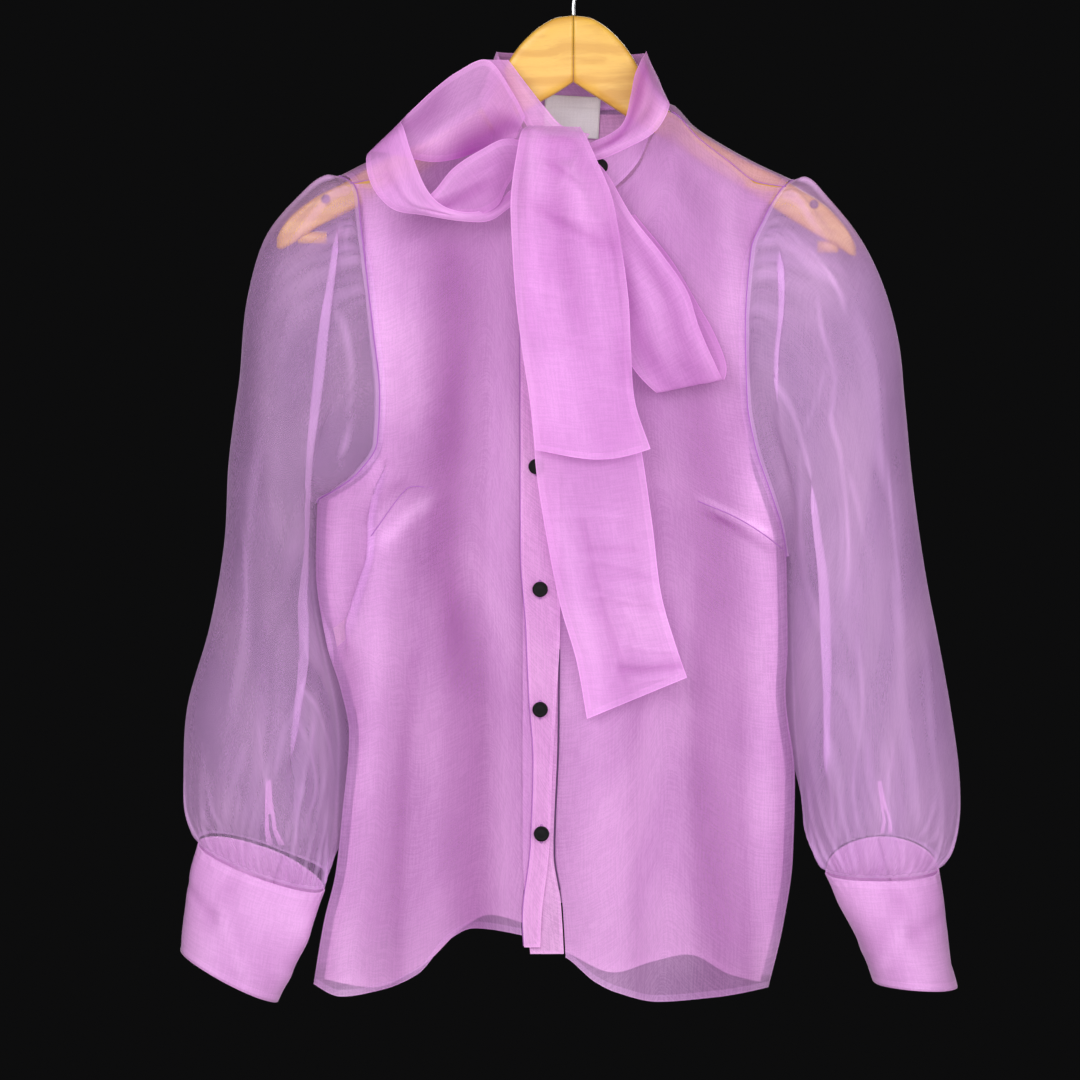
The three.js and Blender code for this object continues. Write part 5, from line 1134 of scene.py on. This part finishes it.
tail_front = ribbon(
    "tie_end_front", TIE_TAIL_FRONT, "tie_tail_front", 2, steps=200, columns=80, edges="sides hem", seed=56,
    sag=7.5,
    lines=[(14, 5, 12, 150, 5, 1.5), (30, 0, 40, 190, 6, -1.6), (50, 10, 54, 210, 6, 1.6),
           (66, 60, 70, 240, 5, -1.2), (24, 110, 30, 250, 7, 1.2), (22, 34, 60, 60, 3, -1.3),
           (12, 66, 70, 108, 3.5, -1.4), (60, 24, 30, 64, 3, 1.2), (8, 130, 40, 140, 3, 0.8),
           (30, 76, 66, 84, 2.5, 0.9), (18, 170, 60, 182, 3, -0.7), (40, 200, 76, 214, 3, 0.7)],
    painted_shading_lines=[(6, -20, 8, 90, 7, -0.5), (60, 30, 76, 120, 9, -0.5), (30, 150, 34, 300, 18, 0.45),
           (14, 90, 16, 260, 7, 0.35), (40, -10, 44, 60, 16, -0.4), (10, 62, 70, 108, 9, -0.35)])
tail_back = ribbon(
    "tie_end_back", TIE_TAIL_BACK, "tie_tail_back", 1, steps=260, columns=80, edges="sides hem", seed=57,
    lines=[(20, 290, 62, 300, 2.6, -1.2), (16, 298, 64, 312, 2.6, 1.2), (26, 312, 70, 322, 2.4, -1.1),
           (14, 322, 56, 338, 2.6, 1.1), (34, 336, 74, 344, 2.4, -1.0), (30, 366, 76, 378, 3, 1.3),
           (18, 380, 72, 396, 2.6, -1.3), (30, 394, 70, 402, 2.4, 1.1), (44, 250, 50, 420, 7, 1.0),
           (22, 250, 30, 420, 2.2, -1.2), (8, 262, 60, 274, 2.6, 0.9), (12, 400, 40, 352, 3, 1.0)],
    painted_shading_lines=[(9, 230, 10, 460, 8, 0.8), (24, 300, 60, 312, 4, -0.3), (26, 324, 62, 336, 4, -0.3),
           (26, 380, 76, 398, 6, -0.55), (60, 270, 64, 440, 9, 0.4), (40, 240, 44, 440, 12, 0.3)])


KNOT_PLACE, KNOT_HALF = (-15, -68, -166), (19, 11.2, 10.6)


def knot():
    """A tight wrap of the tie, its folds running round it."""
    turn = np.linspace(0, 2 * math.pi, 72, endpoint=False)[None, :]
    rise = np.linspace(-0.5, 0.5, 40)[:, None] * math.pi * 0.985
    wave = 1 + 0.035 * np.sin(3 * turn + 5 * rise) - 0.05 * np.exp(-(((rise - 0.3) / 0.12) ** 2))
    x = KNOT_PLACE[0] + KNOT_HALF[0] * np.sin(rise) + 0 * turn
    y = KNOT_PLACE[1] + KNOT_HALF[1] * np.cos(rise) * np.cos(turn) * wave
    z = KNOT_PLACE[2] + KNOT_HALF[2] * np.cos(rise) * np.sin(turn) * wave
    return make("tie_knot_wrap", np.stack([x, y, z], -1), TIE, ["tie_knot"], closed=True, edges="")


tie_wrap = knot()


# The bare woven label, folded over at its top
LABEL_WIDE, LABEL_TALL, LABEL_TOP, LABEL_MIDDLE, LABEL_TILT = 42, 31.6, -122, -138, math.radians(3)


def label():
    share, rise = np.meshgrid(np.linspace(-0.5, 0.5, 26), np.linspace(0, 1, 26))
    x, z = LABEL_WIDE * share, LABEL_TOP - LABEL_TALL * rise - LABEL_MIDDLE
    bow = 0.5 * np.cos(math.pi * share) * rise + 0.5 * np.exp(-(((rise - 0.33) / 0.03) ** 2))
    cos, sin = math.cos(LABEL_TILT), math.sin(LABEL_TILT)
    grid = np.stack([-1 + x * cos + z * sin, 31.4 - bow, LABEL_MIDDLE - x * sin + z * cos], -1)
    return make("label_tab", grid, TAPE, ["neck_label"], thickness=0.6, edges="sides ends")


label_tab = label()


# Buttons: a shallow black dome with a rounded rim; its profile is radius and height
BUTTON_PROFILE = [
    (0, 0.2), (4.6, 0.0), (5.3, 0.3), (5.75, 1.0), (5.7, 1.6), (5.2, 2.15), (4.5, 2.3), (3.6, 2.15), (2.6, 2.2),
    (1.4, 2.32), (0, 2.36),
]
# Where the front buttons sit below the neck one: x and z
SEATS = [(-28, -224), (-27, -312), (-28, -403), (-25, -495), (-25, -585), (-24, -678)]


def lathe(rings, sides):
    """Faces of rings of points, one after another."""
    return [(i * sides + k, i * sides + (k + 1) % sides, (i + 1) * sides + (k + 1) % sides, (i + 1) * sides + k)
            for i in range(rings - 1) for k in range(sides)]


def button(name, node, x, y, z, face=-1):
    sides, rings = 56, 40
    line = through([(r, h, 0) for r, h in BUTTON_PROFILE], rings)
    turn = np.linspace(0, 2 * math.pi, sides, endpoint=False)
    radius, height = np.clip(line[:, 0], 0, None), line[:, 1]
    points = [(x + r * math.cos(a), y + face * h, z + r * math.sin(a))
              for r, h in zip(radius, height) for a in turn]
    join_mesh(name, [(points, lathe(rings, sides))], RESIN, [node])


button("button_dome_1", "button_1", 20, -44.7, -178)
for n, (x, z) in enumerate(SEATS):
    seat = body_point("front", x, z, FRONT_LAP + 1.3)
    button(f"button_dome_{n + 2}", f"button_{n + 2}", x, float(seat[1]), z)
button("cuff_dome_left", "cuff_button_left", 243, 33, -726, 1)
button("cuff_dome_right", "cuff_button_right", -256, 22.4, -722, 1)


# Hanger: two rounded wooden arms with a hole and a bar end each, and a wire hook
def hanger_arm(name, rows, bar, hole):
    """An arm with its hole bored, and its bar end: bar is its two x and its z, hole its x and z."""
    rings, sides = 90, 44
    stations = np.linspace(rows["x"][0], rows["x"][-1], rings)
    turn = (np.arange(sides) + 0.5) / sides * 2 * math.pi
    soft = lambda v: np.sign(v) * np.abs(v) ** 0.45
    top, bottom, half = (curve(rows, "x", key)(stations)[:, None] for key in ("top", "bottom", "half"))
    away = np.abs(stations)[:, None]
    top = top + 2.4 * smoothstep(away, 66, 84) * (1 - smoothstep(away, 150, 176))
    last = np.sqrt(np.clip(1 - ((np.linspace(0, 1, rings) - 0.975) / 0.03).clip(0, 0.85) ** 2, 0, 1))[:, None]
    centre = (top + bottom) / 2
    z = centre + (top - bottom) / 2 * soft(np.sin(turn))[None, :] * last
    y = half * soft(np.cos(turn))[None, :] * last
    points = np.stack([stations[:, None] + 0 * z, y, z], -1).reshape(-1, 3)
    faces = lathe(rings, sides)
    faces += [tuple(range(sides))[::-1], tuple((rings - 1) * sides + k for k in range(sides))]
    if rows["x"][-1] > 0:
        faces = [face[::-1] for face in faces]
    arm = join_mesh("arm_of_" + name, [(points, faces)], WOOD, [name])
    bore = tube([(hole[0], -20, hole[1]), (hole[0], 20, hole[1])], 3.5, 32)
    drill = join_mesh("drill_" + name, [bore], WOOD, [])
    cutter = arm.modifiers.new("hole", "BOOLEAN")
    cutter.operation, cutter.object, cutter.solver = "DIFFERENCE", drill, "EXACT"
    shaped = bpy.data.meshes.new_from_object(arm.evaluated_get(bpy.context.evaluated_depsgraph_get()))
    arm.modifiers.clear()
    arm.data = shaped
    bpy.data.objects.remove(drill)
    ends = [bar[0], bar[0] + (bar[1] - bar[0]) * 0.94, bar[1]]
    rod = tube([(x, 0, bar[2]) for x in ends], [4.5, 4.5, 3.6], 28)
    join_mesh("bar_end_" + name, [rod], WOOD, [])
    return arm


arm_left = hanger_arm("hanger_left", HANGER_LEFT, (184, 200, -237), (181.5, -205))
arm_right = hanger_arm("hanger_right", HANGER_RIGHT, (-186, -208, -230), (-186.6, -201))
line = through(np.stack([HOOK_LINE["x"], 0 * HOOK_LINE["x"], HOOK_LINE["z"]], -1), 110)
join_mesh("hook_wire_bend", [tube(line, 1.5, 20)], STEEL, ["hanger_hook"])


# Sewn details: cords of the seams, the plackets' buttonholes, and a near-black cord painted as the shadow in
# the placket's gap
def seam(name, points, radius=0.45, material=THREAD):
    join_mesh(name, [tube(points, radius, 6)], material, [])


def dart(name, points, lift):
    line = through([(x, 0, z) for x, z in points], 40)
    seam(name, body_point("front", line[:, 0], line[:, 2], lift), 0.35)


def buttonhole(name, x, z, tall=14.0):
    turn = np.linspace(0, 2 * math.pi, 40)
    loop = body_point("front", x + 1.1 * np.sign(np.cos(turn)) * np.abs(np.cos(turn)) ** 0.5,
                      z + tall / 2 * np.sin(turn), FRONT_LAP + 0.75)
    seam(name, loop, 0.32)


angles = np.linspace(0, 2 * math.pi, 240)
for name in ("left", "right"):
    seam("armhole_seam_" + name, armhole_ring(name, angles, 0.4))
for name, xs in (("left", np.linspace(74, 160, 40)), ("right", np.linspace(-74, -168, 40))):
    seam("shoulder_seam_" + name, np.stack([xs, 0 * xs - 15.4, front_top(xs) + 0.6], -1))
dart("dart_seam_left", [(93.4, -428.8), (120, -440), (142, -453), (158.5, -465.5)], 0.5)
dart("dart_seam_right", [(-105.4, -419), (-122.6, -418.3), (-129.4, -424.3), (-151.9, -455)], FRONT_LAP + 0.5)
down = np.linspace(-214, -762, 90)
seam("placket_stitch", body_point("front", placket_low(down) - 0.4, down, FRONT_LAP + 0.3), 0.35)
# Painted shadow: a near-black cord along the gap by the top placket's edge, standing for the dark seen through
# it; it is no seam
down = np.linspace(-540, -720, 60)
seam("placket_gap_painted_shadow_cord", body_point("front", under_high(down) + 0.7, down, 0.8), 0.75, GAP_SHADOW_PAINT)
for n, (x, z) in enumerate(SEATS):
    buttonhole(f"buttonhole_{n + 2}", x, z)


# Stage: a pale floor below the hem, a dark room and soft lights
floor_mesh = bpy.data.meshes.new("floor")
turn = np.linspace(0, 2 * math.pi, 64, endpoint=False)
floor_mesh.from_pydata([(1.6 * math.cos(a), 1.6 * math.sin(a), -1.25) for a in turn], [], [tuple(range(64))])
floor = bpy.data.objects.new("floor", floor_mesh)
bpy.context.scene.collection.objects.link(floor)
ground = Graph("floor_plain")
mottle = ground.noise(ground.node("TexCoord").outputs["Object"], 6.0)
paint = ground.colour((0.62, 0.60, 0.59, 1), (0.68, 0.66, 0.65, 1), mottle)
matt = ground.node("BsdfPrincipled", {"Base Color": paint, "Roughness": 0.8}).outputs[0]
floor_mesh.materials.append(ground.finish(matt))

world = bpy.data.worlds.new("world")
bpy.context.scene.world = world
world.use_nodes = True
world.node_tree.nodes["Background"].inputs["Color"].default_value = (0.004, 0.004, 0.0042, 1)
world.node_tree.nodes["Background"].inputs["Strength"].default_value = 1.0


LIGHT_AIM = np.array([-0.03, 0, -0.45])


def light(name, place, size, power):
    data = bpy.data.lights.new(name, "AREA")
    data.shape, data.size, data.energy = "SQUARE", size, power
    made = bpy.data.objects.new(name, data)
    bpy.context.scene.collection.objects.link(made)
    made.location = place
    aim = LIGHT_AIM - np.array(place)
    tilt = math.acos(-aim[2] / np.linalg.norm(aim))
    made.rotation_euler = (tilt, 0, math.atan2(aim[1], aim[0]) - math.pi / 2)
    made.visible_camera = False


light("key", (-1.2, -2.3, 0.7), 1.5, 52)
light("fill", (1.4, -2.4, 0.2), 1.7, 50)
light("low", (0.0, -2.8, -0.5), 1.0, 22)
light("rear", (0.4, 2.4, 0.5), 1.8, 40)

scene = bpy.context.scene
scene.view_settings.view_transform = "Standard"
scene.cycles.transparent_max_bounces = 40
scene.cycles.max_bounces = 5
scene.cycles.diffuse_bounces = 2
